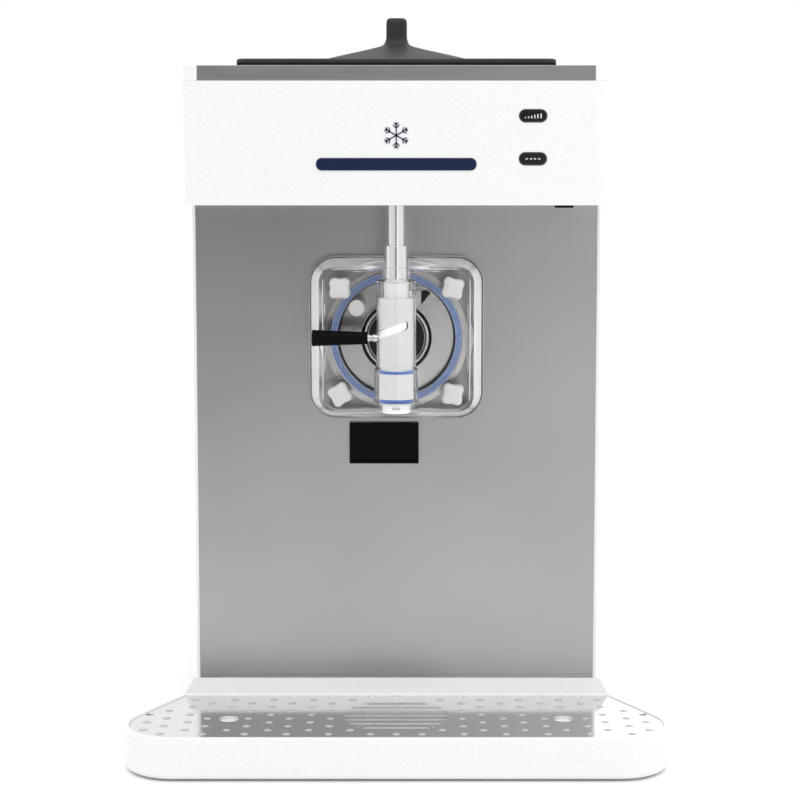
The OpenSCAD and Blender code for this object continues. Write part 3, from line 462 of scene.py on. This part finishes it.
def cross_head_screw(at, outwards):
    """Round head with a cross recess, on its shank."""
    head_r, head_h, shank_r, shank_h = 4.0, 1.4, 2.0, 5.0
    dome = [(head_r * math.cos(a), head_h * math.sin(a)) for a in (math.pi / 16 * i for i in range(9))]
    profile = [(0, -shank_h), (shank_r, -shank_h), (shank_r, 0)] + dome[:-1] + [(0, head_h)]
    bm = lathe(profile, (0, 0, 0), "z", steps=32)
    reach, half_w, deep, lean = 2.0, 0.4, 0.9, 0.5
    for turn in (0, math.pi / 2):
        arm = block((-reach, -half_w, head_h - deep), (reach, half_w, head_h + 1))
        turned = Matrix.Rotation(turn + lean, 3, "Z")
        bmesh.ops.rotate(arm, verts=arm.verts, cent=(0, 0, 0), matrix=turned)
        bm = combine(bm, arm)
    spin = Vector((0, 0, 1)).rotation_difference(Vector(outwards)).to_matrix()
    bmesh.ops.transform(bm, matrix=Matrix.Translation(at) @ spin.to_4x4(), verts=bm.verts)
    return bm


def merge(parts):
    """One mesh of several."""
    whole = bmesh.new()
    for part in parts:
        mesh = bpy.data.meshes.new("part")
        part.to_mesh(mesh)
        part.free()
        whole.from_mesh(mesh)
        bpy.data.meshes.remove(mesh)
    return whole


def panel_screws():
    """Screws of the side panels and the rear panel."""
    low, high = box("right_side_panel")
    back = box("rear_panel")[1].y
    edge, side_z, back_x, back_z = 6, (90, 600), 192, (60, 640)
    sides = [
        ((sign * high.x, y, z), (sign, 0, 0))
        for sign in (1, -1) for y in (low.y + edge, high.y - edge) for z in side_z
    ]
    backs = [((x, back, z), (0, 1, 0)) for x in (-back_x, back_x) for z in back_z]
    stand_for("panel_screws", merge([cross_head_screw(at, out) for at, out in sides + backs]))


def feet():
    """Ribbed rubber feet with a flat sole."""
    low, high = box("feet")
    top_r, sole_r, hole_r, hole_h = 20, 17, 6, 5
    spots = [(x, y) for x in (low.x + top_r, high.x - top_r) for y in (low.y + top_r, high.y - top_r)]
    tall = high.z - low.z
    outline = [(0, hole_h), (hole_r, hole_h), (hole_r, 0), (sole_r, 0), (sole_r + 0.6, 3), (sole_r, 4),
               (sole_r + 1.2, 7), (sole_r + 0.8, 8), (top_r - 0.6, 11), (top_r, tall), (0, tall)]
    parts = [lathe(soften(outline, 0.8), (x, y, low.z), "z", steps=48) for x, y in spots]
    stand_for("feet", merge(parts))


def cable_gland():
    """Gland with a ribbed dome, a lock nut and its clear bore."""
    low, high = box("cable_gland")
    x, z = middle("cable_gland").x, middle("cable_gland").z
    bore, neck, flange, back = 5, 9, 12, box("rear_panel")[1].y
    outline = [(bore, low.y), (neck, low.y), (neck, back), (flange, back), (flange, back + 2.5),
               (flange - 1.4, back + 3), (flange - 2, high.y), (bore, high.y)]
    body = lathe(soften(outline, 0.6, closed=True), (x, 0, z), "y", closed=True, steps=64)
    hexagon = arc(0, 0, 13, 0, 300, 5)
    nut = slab(hexagon[::-1], wall(-7, 0, 0.8, 0.8), (x, back - 1.5, z), TURN["y"])
    hole = rod(neck - 0.5, -10, 5, (x, back, z), "y")
    stand_for("cable_gland", merge([body, combine(nut, hole)]))


# ---------- Head and lid ----------

def bar(centre, length, width, thick, angle, y):
    """Flat bar with round ends, lying against an upright face."""
    outline = rounded_rect(length, width, width * 0.49, steps=4)
    turned = [(x * math.cos(angle) - z * math.sin(angle) + centre[0],
               x * math.sin(angle) + z * math.cos(angle) + centre[1]) for x, z in outline]
    return slab(turned, [(0, y - thick), (0, y)], facing=FACING_FRONT)


def snowflake(x, z, size, y):
    """Plain six-armed snowflake in low relief."""
    thick, width = 0.5, size * 0.085
    parts = []
    for k in range(3):
        parts.append(bar((x, z), 2 * size, width, thick, math.pi / 3 * k + math.pi / 6, y))
    for k in range(6):
        a = math.pi / 3 * k + math.pi / 6
        for side in (-1, 1):
            for reach, length in ((0.55, 0.36), (0.80, 0.24)):
                lean = a + side * math.pi / 4
                root = (x + math.cos(a) * size * reach, z + math.sin(a) * size * reach)
                tip = (root[0] + math.cos(lean) * size * length / 2,
                       root[1] + math.sin(lean) * size * length / 2)
                parts.append(bar(tip, size * length, width * 0.9, thick, lean, y))
    return merge(parts)


def name_plate():
    """Blank bar in place of a name, with a plain snowflake above it."""
    low, high = box("name_plate")
    outline = rounded_rect(high.x - low.x, high.z - low.z, 5.5)
    centre = middle("name_plate")
    bar_y = low.y
    plate = slab(outline, [(0.7, bar_y), (0.2, bar_y + 0.2), (0, bar_y + 0.6), (0, high.y)],
                 (centre.x, 0, centre.z), FACING_FRONT)
    stand_for("name_plate", plate)
    piece(snowflake(centre.x, centre.z + 27.5, 12.5, HEAD_Y), "snowflake_badge", "cabinet", "navy_plastic")


def indicator_lenses():
    """Smoked windows with a domed edge, and a plain pictogram in each."""
    low, high = box("indicator_lenses")
    x, tall = middle("indicator_lenses").x, 13.0
    outline = rounded_rect(high.x - low.x, tall, 6.4)
    edge = [(1.2, low.y + 0.15), (0.6, low.y + 0.3), (0.15, low.y + 0.7), (0, low.y + 1.0), (0, high.y)]
    lower_z, upper_z = low.z + tall / 2, high.z - tall / 2
    windows = [slab(outline, edge, (x, 0, z), FACING_FRONT) for z in (lower_z, upper_z)]
    stand_for("indicator_lenses", merge(windows))
    y = low.y + 0.17
    line, thick = 1.3, 0.12
    marks = []
    for k in range(6):
        centre = (x - 7.5 + 3 * k, upper_z - 1.85 + 0.35 * k)
        marks.append(bar(centre, 1.4 + 0.7 * k, line, thick, math.pi / 2, y))
    for k in range(4):
        marks.append(bar((x - 6 + 4 * k, lower_z), 2.4, line, thick, 0, y))
    piece(merge(marks), "indicator_marks", "cabinet", "white_nylon")


def hopper_lid():
    """Moulded lid: plate with side cheeks, sealing block, sloped crown and lifting fin."""
    low, high = box("hopper_lid")
    centre = middle("hopper_lid")
    width, length = high.x - low.x, high.y - low.y
    seat, plate_low, plate_top = box("top_deck")[1].z + 1.6, 686.0, 690.6
    plate_edge = wall(plate_low, plate_top, 0.6, 2.6, 6)
    plate = slab(rounded_rect(width, length, 12), plate_edge, (centre.x, centre.y, 0))
    cheek = 3.2
    parts = [plate]
    for side in (-1, 1):
        x = side * (width / 2 - cheek / 2)
        outline = [(px + x, py + centre.y) for px, py in rounded_rect(cheek, length - 24, 1.4, 5)]
        parts.append(slab(outline, wall(seat, plate_low + 1.4, 0.6, 0)))
    # (width, length, height) of the crown and the fin, from the plate up
    levels = [(160, 240, plate_top - 0.5), (158, 238, plate_top + 0.2), (128, 208, 695.3), (96, 176, 699.6),
              (64, 144, 703.8), (38, 118, 707.6), (28.5, 108, 709.6), (25, 103, 712), (22.6, 100.6, 715.5),
              (22, 100, 719), (22, 100, 732.5), (21.2, 99.2, 735.4), (19, 97, 737.2), (15.5, 93.5, high.z)]
    rings = []
    for w, d, z in levels:
        outline = rounded_rect(w, d, min(9, w * 0.28), 8)
        rings.append([Vector((centre.x + px, centre.y + py, z)) for px, py in outline])
    parts.append(loft(rings))
    stand_for("hopper_lid", merge(parts), crease=28)
    # Sealing block under the plate, and the rim that drops into the hopper
    gap = cheek + 1.6
    inner = box("hopper")
    block_outline = rounded_rect(width - 2 * gap, length - 7, 8)
    seal = slab(block_outline, wall(seat, plate_low + 0.3, 0.5, 0), (centre.x, centre.y, 0))
    rim_w, rim_l, rim_thick = 280.0, inner[1].y - inner[0].y - 24, 3
    rim_at = (centre.x, middle("hopper").y, 0)
    rim = slab(rounded_rect(rim_w, rim_l, 6), wall(low.z, seat + 0.6, 1.0, 0), rim_at)
    hollow_outline = rounded_rect(rim_w - 2 * rim_thick, rim_l - 2 * rim_thick, 4)
    hollow = slab(hollow_outline, [(0, low.z - 1), (0, seat)], rim_at)
    piece(merge([seal, combine(rim, hollow)]), "lid_sealing_block", "lid", "rubber")


# ---------- Door ----------

def door_body():
    """Clear block with a flange, a wide bevel and a flat face, facing -Y."""
    back = box("door")[1].y
    base = PANEL_Y - 11
    face = PANEL_Y - 35
    # (width, height, corner radius, depth) from the back face to the front face
    flange = [
        (173.4, 162.4, 26.2, back), (174.6, 163.6, 26.8, back - 0.5), (175, 164, 27, back - 1.4),
        (175, 164, 27, base + 1.6), (174.2, 163.2, 26.6, base + 0.5), (172.2, 161.2, 25.6, base),
    ]
    bevel = [
        (170.4, 159.4, 24.8, base - 0.6), (168.6, 157.8, 24, base - 2.4), (155.4, 147.2, 17.6, face + 5.2),
        (153.6, 145.6, 16.8, face + 4.2), (148.6, 141.8, 15, face + 2.8), (147, 140.6, 14.4, face + 2.2),
    ]
    rim = [
        (146, 139.8, 14, face + 0.8), (145.2, 139.2, 13.7, face + 0.3), (144.4, 138.6, 13.4, face + 0.2),
        (143.4, 137.8, 13, face + 0.7), (142.6, 137.2, 12.7, face + 0.7), (141.4, 136.2, 12.2, face + 0.1),
        (140.2, 135.2, 11.6, face),
    ]
    rings = []
    for w, h, r, y in flange + bevel + rim:
        outline = rounded_rect(w, h, r, 14)
        rings.append([Vector((x, y, AXIS_Z + z)) for x, z in outline])
    return loft(rings)


def lever_slot():
    """Sloping slot that the lever climbs as it swings."""
    start, half_h, steps = 180, 4.4, 40
    # Radii that the cutter runs between, inside and outside the housing's wall
    inner, outer = 15.3, 23.3
    low_z = box("lever_arm")[0].z + LEVER_R
    # Heights of the slot's two rounded ends, as parts of its full height
    ends = {-2: 0.35, -1: 0.8, steps + 1: 0.8, steps + 2: 0.35}
    rings = []
    for i in range(-2, steps + 3):
        a = math.radians(start + SLOT_SWING * i / steps)
        h = half_h * ends.get(i, 1)
        z = low_z + SLOT_RISE * min(1.0, max(0.0, i / steps))
        section = [(inner, -h), (outer, -h), (outer, h), (inner, h)]
        ring = []
        for r, dz in section:
            ring.append(Vector((VALVE.x + r * math.cos(a), VALVE.y + r * math.sin(a), z + dz)))
        rings.append(ring)
    return loft(rings)


def door():
    """Clear moulded door with its valve housing, web and bores."""
    back = box("door")[1].y
    front = PANEL_Y - 40
    top = box("door")[1].z - 8.5
    # The housing is thicker round the two rings, and narrow round the neck
    wall_r, thick_r, collar_r = 19.3, 21.5, 14
    housing = [(0, 350), (wall_r, 350), (wall_r, 354.2), (thick_r, 355.6), (thick_r, 387), (wall_r, 389.5),
               (wall_r, 474), (collar_r, 475), (collar_r, top), (0, top)]
    at = (VALVE.x, VALVE.y, 0)
    bm = combine(door_body(), lathe(soften(housing, 0.9, 3), at, "z", steps=96), "UNION")
    web_span = wall(PANEL_Y - 61, PANEL_Y - 34.4)
    web = slab(rounded_rect(28, 111, 3, 4), web_span, (0, 0, 412.5), FACING_FRONT)
    bm = combine(bm, web, "UNION")
    bore = [(0, 340), (PISTON_R, 340), (PISTON_R, 472), (NECK_R, 472), (NECK_R, 490), (0, 490)]
    bm = combine(bm, lathe(bore, at, "z", steps=96))
    for x, z in [(x, z) for x in (-STUD_X, STUD_X) for z in (-STUD_Z, STUD_Z)]:
        bm = combine(bm, rod(4.5, front, back + 1, (x, 0, AXIS_Z + z), "y"))
    plug = middle("bleed_plug")
    bm = combine(bm, rod(3.5, front, back + 1, (plug.x, 0, plug.z), "y"))
    # Port from the cylinder to the piston, and the seal's groove
    bm = combine(bm, rod(5.5, VALVE.y, back + 1, (0, 0, 368), "y"))
    groove = [(58.5, back - 5), (66.5, back - 5), (66.5, back + 1), (58.5, back + 1)]
    bm = combine(bm, lathe(groove, (0, 0, AXIS_Z), "y", closed=True, steps=128))
    bm = combine(bm, lever_slot())
    stand_for("door", bm, crease=24)


def door_seal():
    """Silicone ring with three lips."""
    low, high = box("door_seal")
    groove_y, lip_y = low.y + 2.2, low.y + 0.1
    foot, lip = 0.75, 0.4
    outline = [(59, high.y - 0.3), (59.2, groove_y)]
    for r in (60.3, 62.5, 64.7):
        outline += [(r - foot, groove_y), (r - lip, lip_y), (r + lip, lip_y), (r + foot, groove_y)]
    outline += [(65.9, groove_y), (66, high.y - 0.3), (64.8, high.y), (63, high.y - 1.6), (62, high.y - 1.6),
                (60.2, high.y)]
    stand_for("door_seal", lathe(soften(outline, 0.3, 2, True), (0, 0, AXIS_Z), "y", closed=True, steps=160))


def hand_nut(node, turn):
    """Four-lobed nut with a domed front and a round collar."""
    low, high = box(node)
    centre = middle(node)
    mean_r, lobe, steps = 10.95, 1.55, 96
    lobes = []
    for i in range(steps):
        a = 2 * math.pi * i / steps
        r = mean_r - lobe * math.cos(4 * a)
        lobes.append((r * math.cos(a + turn), r * math.sin(a + turn)))
    profile = [(2.6, high.y - 6.2), (0.8, high.y - 7.0), (0, high.y - 8.4), (0, low.y + 3.6),
               (0.3, low.y + 2.2), (1.1, low.y + 1.0), (2.4, low.y + 0.3), (4.4, low.y)]
    head = slab(lobes, profile[::-1], (centre.x, 0, centre.z), FACING_FRONT)
    outline = soften([(0, high.y - 7), (9.0, high.y - 7), (8.4, high.y), (0, high.y)], 0.8)
    collar = lathe(outline, (centre.x, 0, centre.z), "y")
    bm = combine(head, collar, "UNION")
    bm = combine(bm, rod(4.05, high.y - 14, high.y + 1, (centre.x, 0, centre.z), "y"))
    stand_for(node, bm, crease=40)


def bleed_plug():
    """Turned plug with a rounded head and a finger dimple."""
    low, high = box("bleed_plug")
    centre = middle("bleed_plug")
    outline = [(0, low.y + 0.7), (4.2, low.y + 0.5), (5.2, low.y), (8, low.y), (8, low.y + 10.7),
               (3.45, low.y + 10.7), (3.45, high.y), (0, high.y)]
    stand_for("bleed_plug", lathe(soften(outline, 1.1), (centre.x, 0, centre.z), "y"))


# ---------- Draw valve ----------

def draw_valve():
    """Piston with ring grooves, a neck above and a spout nose below."""
    low, high = box("draw_valve")
    full_r, groove_r, neck_r, half = 17.3, 14.8, 12.25, 1.3
    outline = [(0, 352), (8, 352), (12.2, low.z), (14, low.z), (14, 352.9), (full_r, 352.9)]
    for z in RING_Z:
        outline += [(full_r, z - half), (groove_r, z - half), (groove_r, z + half), (full_r, z + half)]
    outline += [(full_r, 457), (neck_r, 457), (neck_r, high.z), (0, high.z)]
    bm = lathe(soften(outline, 0.5, 3), (VALVE.x, VALVE.y, 0), "z", steps=96)
    rod_z = middle("lever_arm").z
    bm = combine(bm, rod(4.02, -20, -8, (0, VALVE.y, rod_z), "x"))
    notch = block((-3.6, VALVE.y - 20, 348), (3.6, VALVE.y - 10, 350.6))
    stand_for("draw_valve", combine(bm, notch))


def valve_o_rings():
    """Two round silicone rings."""
    ring_r, wire_r = 16.0, 1.2
    rings = []
    for z in RING_Z:
        section = [(ring_r + r, h) for r, h in arc(0, 0, wire_r, 0, 345, 23)]
        rings.append(lathe(section, (VALVE.x, VALVE.y, z), "z", closed=True, steps=96))
    stand_for("valve_o_rings", merge(rings))


def lever():
    """Steel rod with a waist, and its tapered grip."""
    low, high = box("lever_arm")
    at = (0, VALVE.y, middle("lever_arm").z)
    waist_r = 3.2
    outline = [(0, low.x), (LEVER_R, low.x), (LEVER_R, -26), (waist_r, -25.2), (waist_r, -23.6),
               (LEVER_R, -22.8), (LEVER_R, high.x), (0, high.x)]
    stand_for("lever_arm", lathe(soften(outline, 0.5), at, "x", steps=48))
    low, high = box("lever_grip")
    grip = [(0, low.x + 0.4), (5.5, low.x), (8.2, low.x), (8.0, low.x + 4.6), (7.55, low.x + 5.2),
            (7.9, low.x + 5.8), (6.0, high.x), (4.02, high.x), (4.02, -44.6), (0, -44.6)]
    stand_for("lever_grip", lathe(soften(grip, 1.2, 5), at, "x", steps=64))


def spring_parts():
    """Sleeve on the valve's carrier, and the tube that it slides over, both polished."""
    at = (VALVE.x, VALVE.y, 0)
    low, high = box("spring_sleeve")
    outer, inner, base = 11.25, 8.45, 3.9
    sleeve = [(0, low.z), (outer, low.z), (outer, high.z), (inner, high.z), (inner, low.z + base),
              (0, low.z + base)]
    stand_for("spring_sleeve", lathe(soften(sleeve, 0.7), at, "z", steps=96))
    low, high = box("spring_tube")
    outer, inner, cap = 8.4, 7, 2.7
    tube = [(0, high.z - cap), (inner, high.z - cap), (inner, low.z), (outer, low.z), (outer, high.z),
            (0, high.z)]
    stand_for("spring_tube", lathe(soften(tube, 0.5), at, "z", steps=96))


# ---------- Seen through the door ----------

def front_bearing():
    """White ring with a groove round its face."""
    low, high = box("front_bearing")
    outline = [(28, low.y + 0.4), (28.6, low.y), (30.6, low.y), (31, low.y + 0.7), (31.8, low.y + 0.7),
               (32.2, low.y), (36, low.y), (36, high.y), (28, high.y)]
    ring = lathe(soften(outline, 0.5, 3, True), (0, 0, AXIS_Z), "y", closed=True, steps=120)
    stand_for("front_bearing", ring)


def beater_hub():
    """Black hub with stepped rings and a centre socket."""
    low, high = box("beater_hub")
    hub_r = 27.95
    # (radius, depth behind the hub's face) from the middle outwards
    face = [(0, 8.5), (7, 8.5), (7, 3.6), (13, 3.6), (13.6, 2.8), (15, 2.8), (15.6, 3.6), (20, 3.6),
            (20, 0.4), (21, 0), (23.6, 0), (24.2, 0.8), (25, 0.8), (25.6, 0), (hub_r, 0)]
    outline = [(r, low.y + depth) for r, depth in face] + [(hub_r, high.y), (0, high.y)]
    stand_for("beater_hub", lathe(soften(outline, 0.4, 3), (0, 0, AXIS_Z), "y", steps=120))


# ---------- Tray and drawer ----------

# The tray's two round front corners: place from the middle, depth from the panel, and radius
LOBE_X = 214.6
LOBE_D = 99.0
LOBE_R = box("drip_tray")[1].x - LOBE_X


def tray_outline(back_x, back_d, radius, steps=24):
    """Plan outline with straight back sides and round front corners, anticlockwise."""
    dx, dy = back_x - LOBE_X, LOBE_D - back_d
    a = math.degrees(math.atan2(dy, dx) - math.acos(radius / math.hypot(dx, dy)))
    front = PANEL_Y - LOBE_D
    return ([(-back_x, PANEL_Y - back_d)] + arc(-LOBE_X, front, radius, 180 - a, 270, steps)
            + arc(LOBE_X, front, radius, -90, a, steps) + [(back_x, PANEL_Y - back_d)])


def drip_tray():
    """Deep moulded tray: rounded foot, soft rim, ledge for the insert, and an upstand at the back."""
    low, high = box("drip_tray")
    rim_z, ledge_z, floor_z = 43.6, 40.0, 20.0
    outline = tray_outline(219, 0.3, LOBE_R)
    outer = wall(low.z, rim_z, 5, 1.6, 8)
    inside = [(3.4, rim_z), (4.3, rim_z - 0.5), (4.6, rim_z - 1.2), (4.6, ledge_z + 0.3), (5.0, ledge_z),
              (9.4, ledge_z), (10, ledge_z - 0.6), (10.6, floor_z + 4), (11.6, floor_z + 1.4), (14, floor_z)]
    bm = slab(outline, outer + inside)
    # Hollow underside, open at the back for the two tongues
    foot_in, hollow_top, tongue_x, half_w = 12, 17, 130, 24
    bm = combine(bm, slab(outline, [(foot_in, low.z - 1), (foot_in, hollow_top)]))
    for x in (-tongue_x, tongue_x):
        passage = block((x - half_w, PANEL_Y - 22, low.z - 1), (x + half_w, PANEL_Y + 1, hollow_top))
        bm = combine(bm, passage)
    low_x, high_x, low_z = 218.5, 208.5, rim_z - 2
    sloped = [(-low_x, low_z), (low_x, low_z), (high_x, high.z), (-high_x, high.z)]
    upstand = slab(sloped, [(0, PANEL_Y - 2), (0, high.y)], facing=FACING_FRONT)
    bm = combine(bm, upstand, "UNION")
    stand_for("drip_tray", merge([bm] + insert_supports(floor_z, ledge_z - 0.1)), crease=30)


def insert_supports(floor_z, top_z):
    """Ribs and round pads that hold the insert up, under its holes, slots and finger holes."""
    half_w, edge, slots_r, slots_d, pitch = 4.7, 7.0, 53.5, 73.5, 20.1
    front = LOBE_D + LOBE_R - edge
    # (distance from the middle, nearest depth) of each pair of ribs
    rows = [(0, 4)] + [(24.8 + pitch * k, 4) for k in range(10)] + [(225.8, 35), (244.8, 71)]
    parts = []
    for x, near in rows:
        past_lobe = max(0.0, x + half_w - LOBE_X)
        far = LOBE_D + math.sqrt((LOBE_R - edge) ** 2 - past_lobe ** 2)
        spans = [(near, far)]
        if x < slots_r:
            reach = math.sqrt(slots_r ** 2 - x ** 2) - 1
            spans = [(near, slots_d - reach), (slots_d + reach, front)]
        for side in (-1, 1) if x else (1,):
            for start, end in spans:
                parts.append(block((side * x - half_w, PANEL_Y - end, floor_z - 1),
                                   (side * x + half_w, PANEL_Y - start, top_z)))
    finger_x, finger_d, finger_r = 165, 84, 11
    pads = [(0, slots_d, slots_r), (-finger_x, finger_d, finger_r), (finger_x, finger_d, finger_r)]
    for x, d, r in pads:
        parts.append(rod(r, floor_z - 1, top_z - 0.3, (x, PANEL_Y - d, 0), "z", steps=96))
    return parts


# ---------- Build ----------

front_panel()
for name, width in {
    "corner_trims": 0.8, "left_side_panel": 0.6, "right_side_panel": 0.6, "rear_panel": 0.6,
    "top_deck": 0.9, "top_side_caps": 0.9, "control_head": 1.0, "power_switch": 0.5, "hopper": 0.5,
    "drip_drawer": 1.0, "tray_insert": 0.35, "base_pan": 0.5, "scraper_blades": 0.4, "beater": 0.4,
    "feed_regulator": 0.6,
}.items():
    refined(name, width, 2 if name == "tray_insert" else 3)
panel_screws()
feet()
cable_gland()
name_plate()
indicator_lenses()
hopper_lid()
door()
door_seal()
for name, turn in {"upper_left": 0, "upper_right": -12, "lower_left": 30, "lower_right": -8}.items():
    hand_nut("hand_nut_" + name, math.radians(turn))
bleed_plug()
draw_valve()
valve_o_rings()
lever()
spring_parts()
front_bearing()
beater_hub()
drip_tray()


# ---------- Stage ----------

# Length of the floor's sides, and its front edge, in metres
FLOOR_SIZE = 600.0
FLOOR_FRONT = -1.9
# Brightness of the surround from the left side (0) over the middle (0.5) to the right side (1)
SIDE_LIGHT = (
    (0.0, 0.92), (0.30, 0.98), (0.45, 0.98), (0.53, 1.25), (0.60, 1.80), (0.72, 1.25), (1.0, 0.97),
)
# Brightness overhead
TOP_LIGHT = 1.40
# Direction of the dim zone on the camera's side, cosines of its outer and inner angle, and its brightness
DIM_SIDE = (-0.06, -1.0, 0.08)
DIM_SPREAD = (0.955, 0.996)
DIM_LIGHT = 0.0
# Place of the camera in metres, how far it looks down in degrees, and its lens in millimetres
CAMERA_AT = (0.0036, -2.114, 0.6132)
CAMERA_DOWN = 5.927
LENS = 86.44
LENS_SHIFT = -0.08


def floor():
    """Wide pale floor that ends a little before the camera."""
    half = FLOOR_SIZE / 2
    mesh = bpy.data.meshes.new("floor")
    corners = [(-half, FLOOR_FRONT, 0), (half, FLOOR_FRONT, 0), (half, half, 0), (-half, half, 0)]
    mesh.from_pydata(corners, [], [(0, 1, 2, 3)])
    made = bpy.data.objects.new("floor", mesh)
    bpy.context.scene.collection.objects.link(made)
    pale = bpy.data.materials.new("pale_floor")
    pale.use_nodes = True
    shader = pale.node_tree.nodes["Principled BSDF"]
    shader.inputs["Base Color"].default_value = (0.93, 0.93, 0.93, 1)
    shader.inputs["Roughness"].default_value = 0.6
    mesh.materials.append(pale)


def softbox(name, place, target, size, power):
    """Square soft light aimed at a point, in metres and watts."""
    data = bpy.data.lights.new(name, "AREA")
    data.shape, data.size, data.energy = "SQUARE", size, power
    made = bpy.data.objects.new(name, data)
    made.location = place
    made.rotation_euler = (Vector(target) - Vector(place)).to_track_quat("-Z", "Y").to_euler()
    bpy.context.scene.collection.objects.link(made)


def studio_air():
    """Pale surround, brighter overhead, dim on the camera's side, and white where it shows directly."""
    world = bpy.data.worlds.new("studio")
    bpy.context.scene.world = world
    world.use_nodes = True
    tree = world.node_tree
    tree.nodes.clear()

    def scaled(source, low, high):
        node = tree.nodes.new("ShaderNodeMapRange")
        node.interpolation_type = "SMOOTHSTEP"
        node.inputs["From Min"].default_value = low
        node.inputs["From Max"].default_value = high
        tree.links.new(source, node.inputs["Value"])
        return node.outputs["Result"]

    def blend(fac, first, level):
        node = tree.nodes.new("ShaderNodeMixRGB")
        node.inputs["Color2"].default_value = (level, level, level, 1)
        tree.links.new(fac, node.inputs["Fac"])
        tree.links.new(first, node.inputs["Color1"])
        return node.outputs["Color"]

    place = tree.nodes.new("ShaderNodeTexCoord")
    split = tree.nodes.new("ShaderNodeSeparateXYZ")
    tree.links.new(place.outputs["Generated"], split.inputs["Vector"])
    side = tree.nodes.new("ShaderNodeValToRGB")
    for position, level in SIDE_LIGHT:
        side.color_ramp.elements.new(position).color = (level, level, level, 1)
    side.color_ramp.elements.remove(side.color_ramp.elements[0])
    tree.links.new(scaled(split.outputs["X"], -1.0, 1.0), side.inputs["Fac"])
    towards_camera = tree.nodes.new("ShaderNodeVectorMath")
    towards_camera.operation = "DOT_PRODUCT"
    towards_camera.inputs[1].default_value = Vector(DIM_SIDE).normalized()
    tree.links.new(place.outputs["Generated"], towards_camera.inputs[0])
    dimmed = blend(scaled(towards_camera.outputs["Value"], *DIM_SPREAD), side.outputs["Color"], DIM_LIGHT)
    colour = blend(scaled(split.outputs["Z"], 0.25, 0.75), dimmed, TOP_LIGHT)
    lit = tree.nodes.new("ShaderNodeBackground")
    plain = tree.nodes.new("ShaderNodeBackground")
    plain.inputs["Color"].default_value = (1, 1, 1, 1)
    path = tree.nodes.new("ShaderNodeLightPath")
    choose = tree.nodes.new("ShaderNodeMixShader")
    out = tree.nodes.new("ShaderNodeOutputWorld")
    tree.links.new(colour, lit.inputs["Color"])
    tree.links.new(path.outputs["Is Camera Ray"], choose.inputs["Fac"])
    tree.links.new(lit.outputs["Background"], choose.inputs[1])
    tree.links.new(plain.outputs["Background"], choose.inputs[2])
    tree.links.new(choose.outputs["Shader"], out.inputs["Surface"])


def camera():
    """Camera near the height of the head, aimed a little down, with a long lens."""
    data = bpy.data.cameras.new("camera")
    data.lens = LENS
    data.sensor_width = 36.0
    data.shift_y = LENS_SHIFT
    made = bpy.data.objects.new("camera", data)
    made.location = CAMERA_AT
    made.rotation_euler = (math.radians(90 - CAMERA_DOWN), 0, 0)
    bpy.context.scene.collection.objects.link(made)
    bpy.context.scene.camera = made


floor()
softbox("top_light", (0.3, -0.7, 2.6), (0, 0, 0.3), 2.2, 5)
softbox("right_light", (2.2, -1.6, 1.2), (0, -0.1, 0.4), 1.4, 2)
studio_air()
camera()
bpy.context.scene.view_settings.view_transform = "Standard"
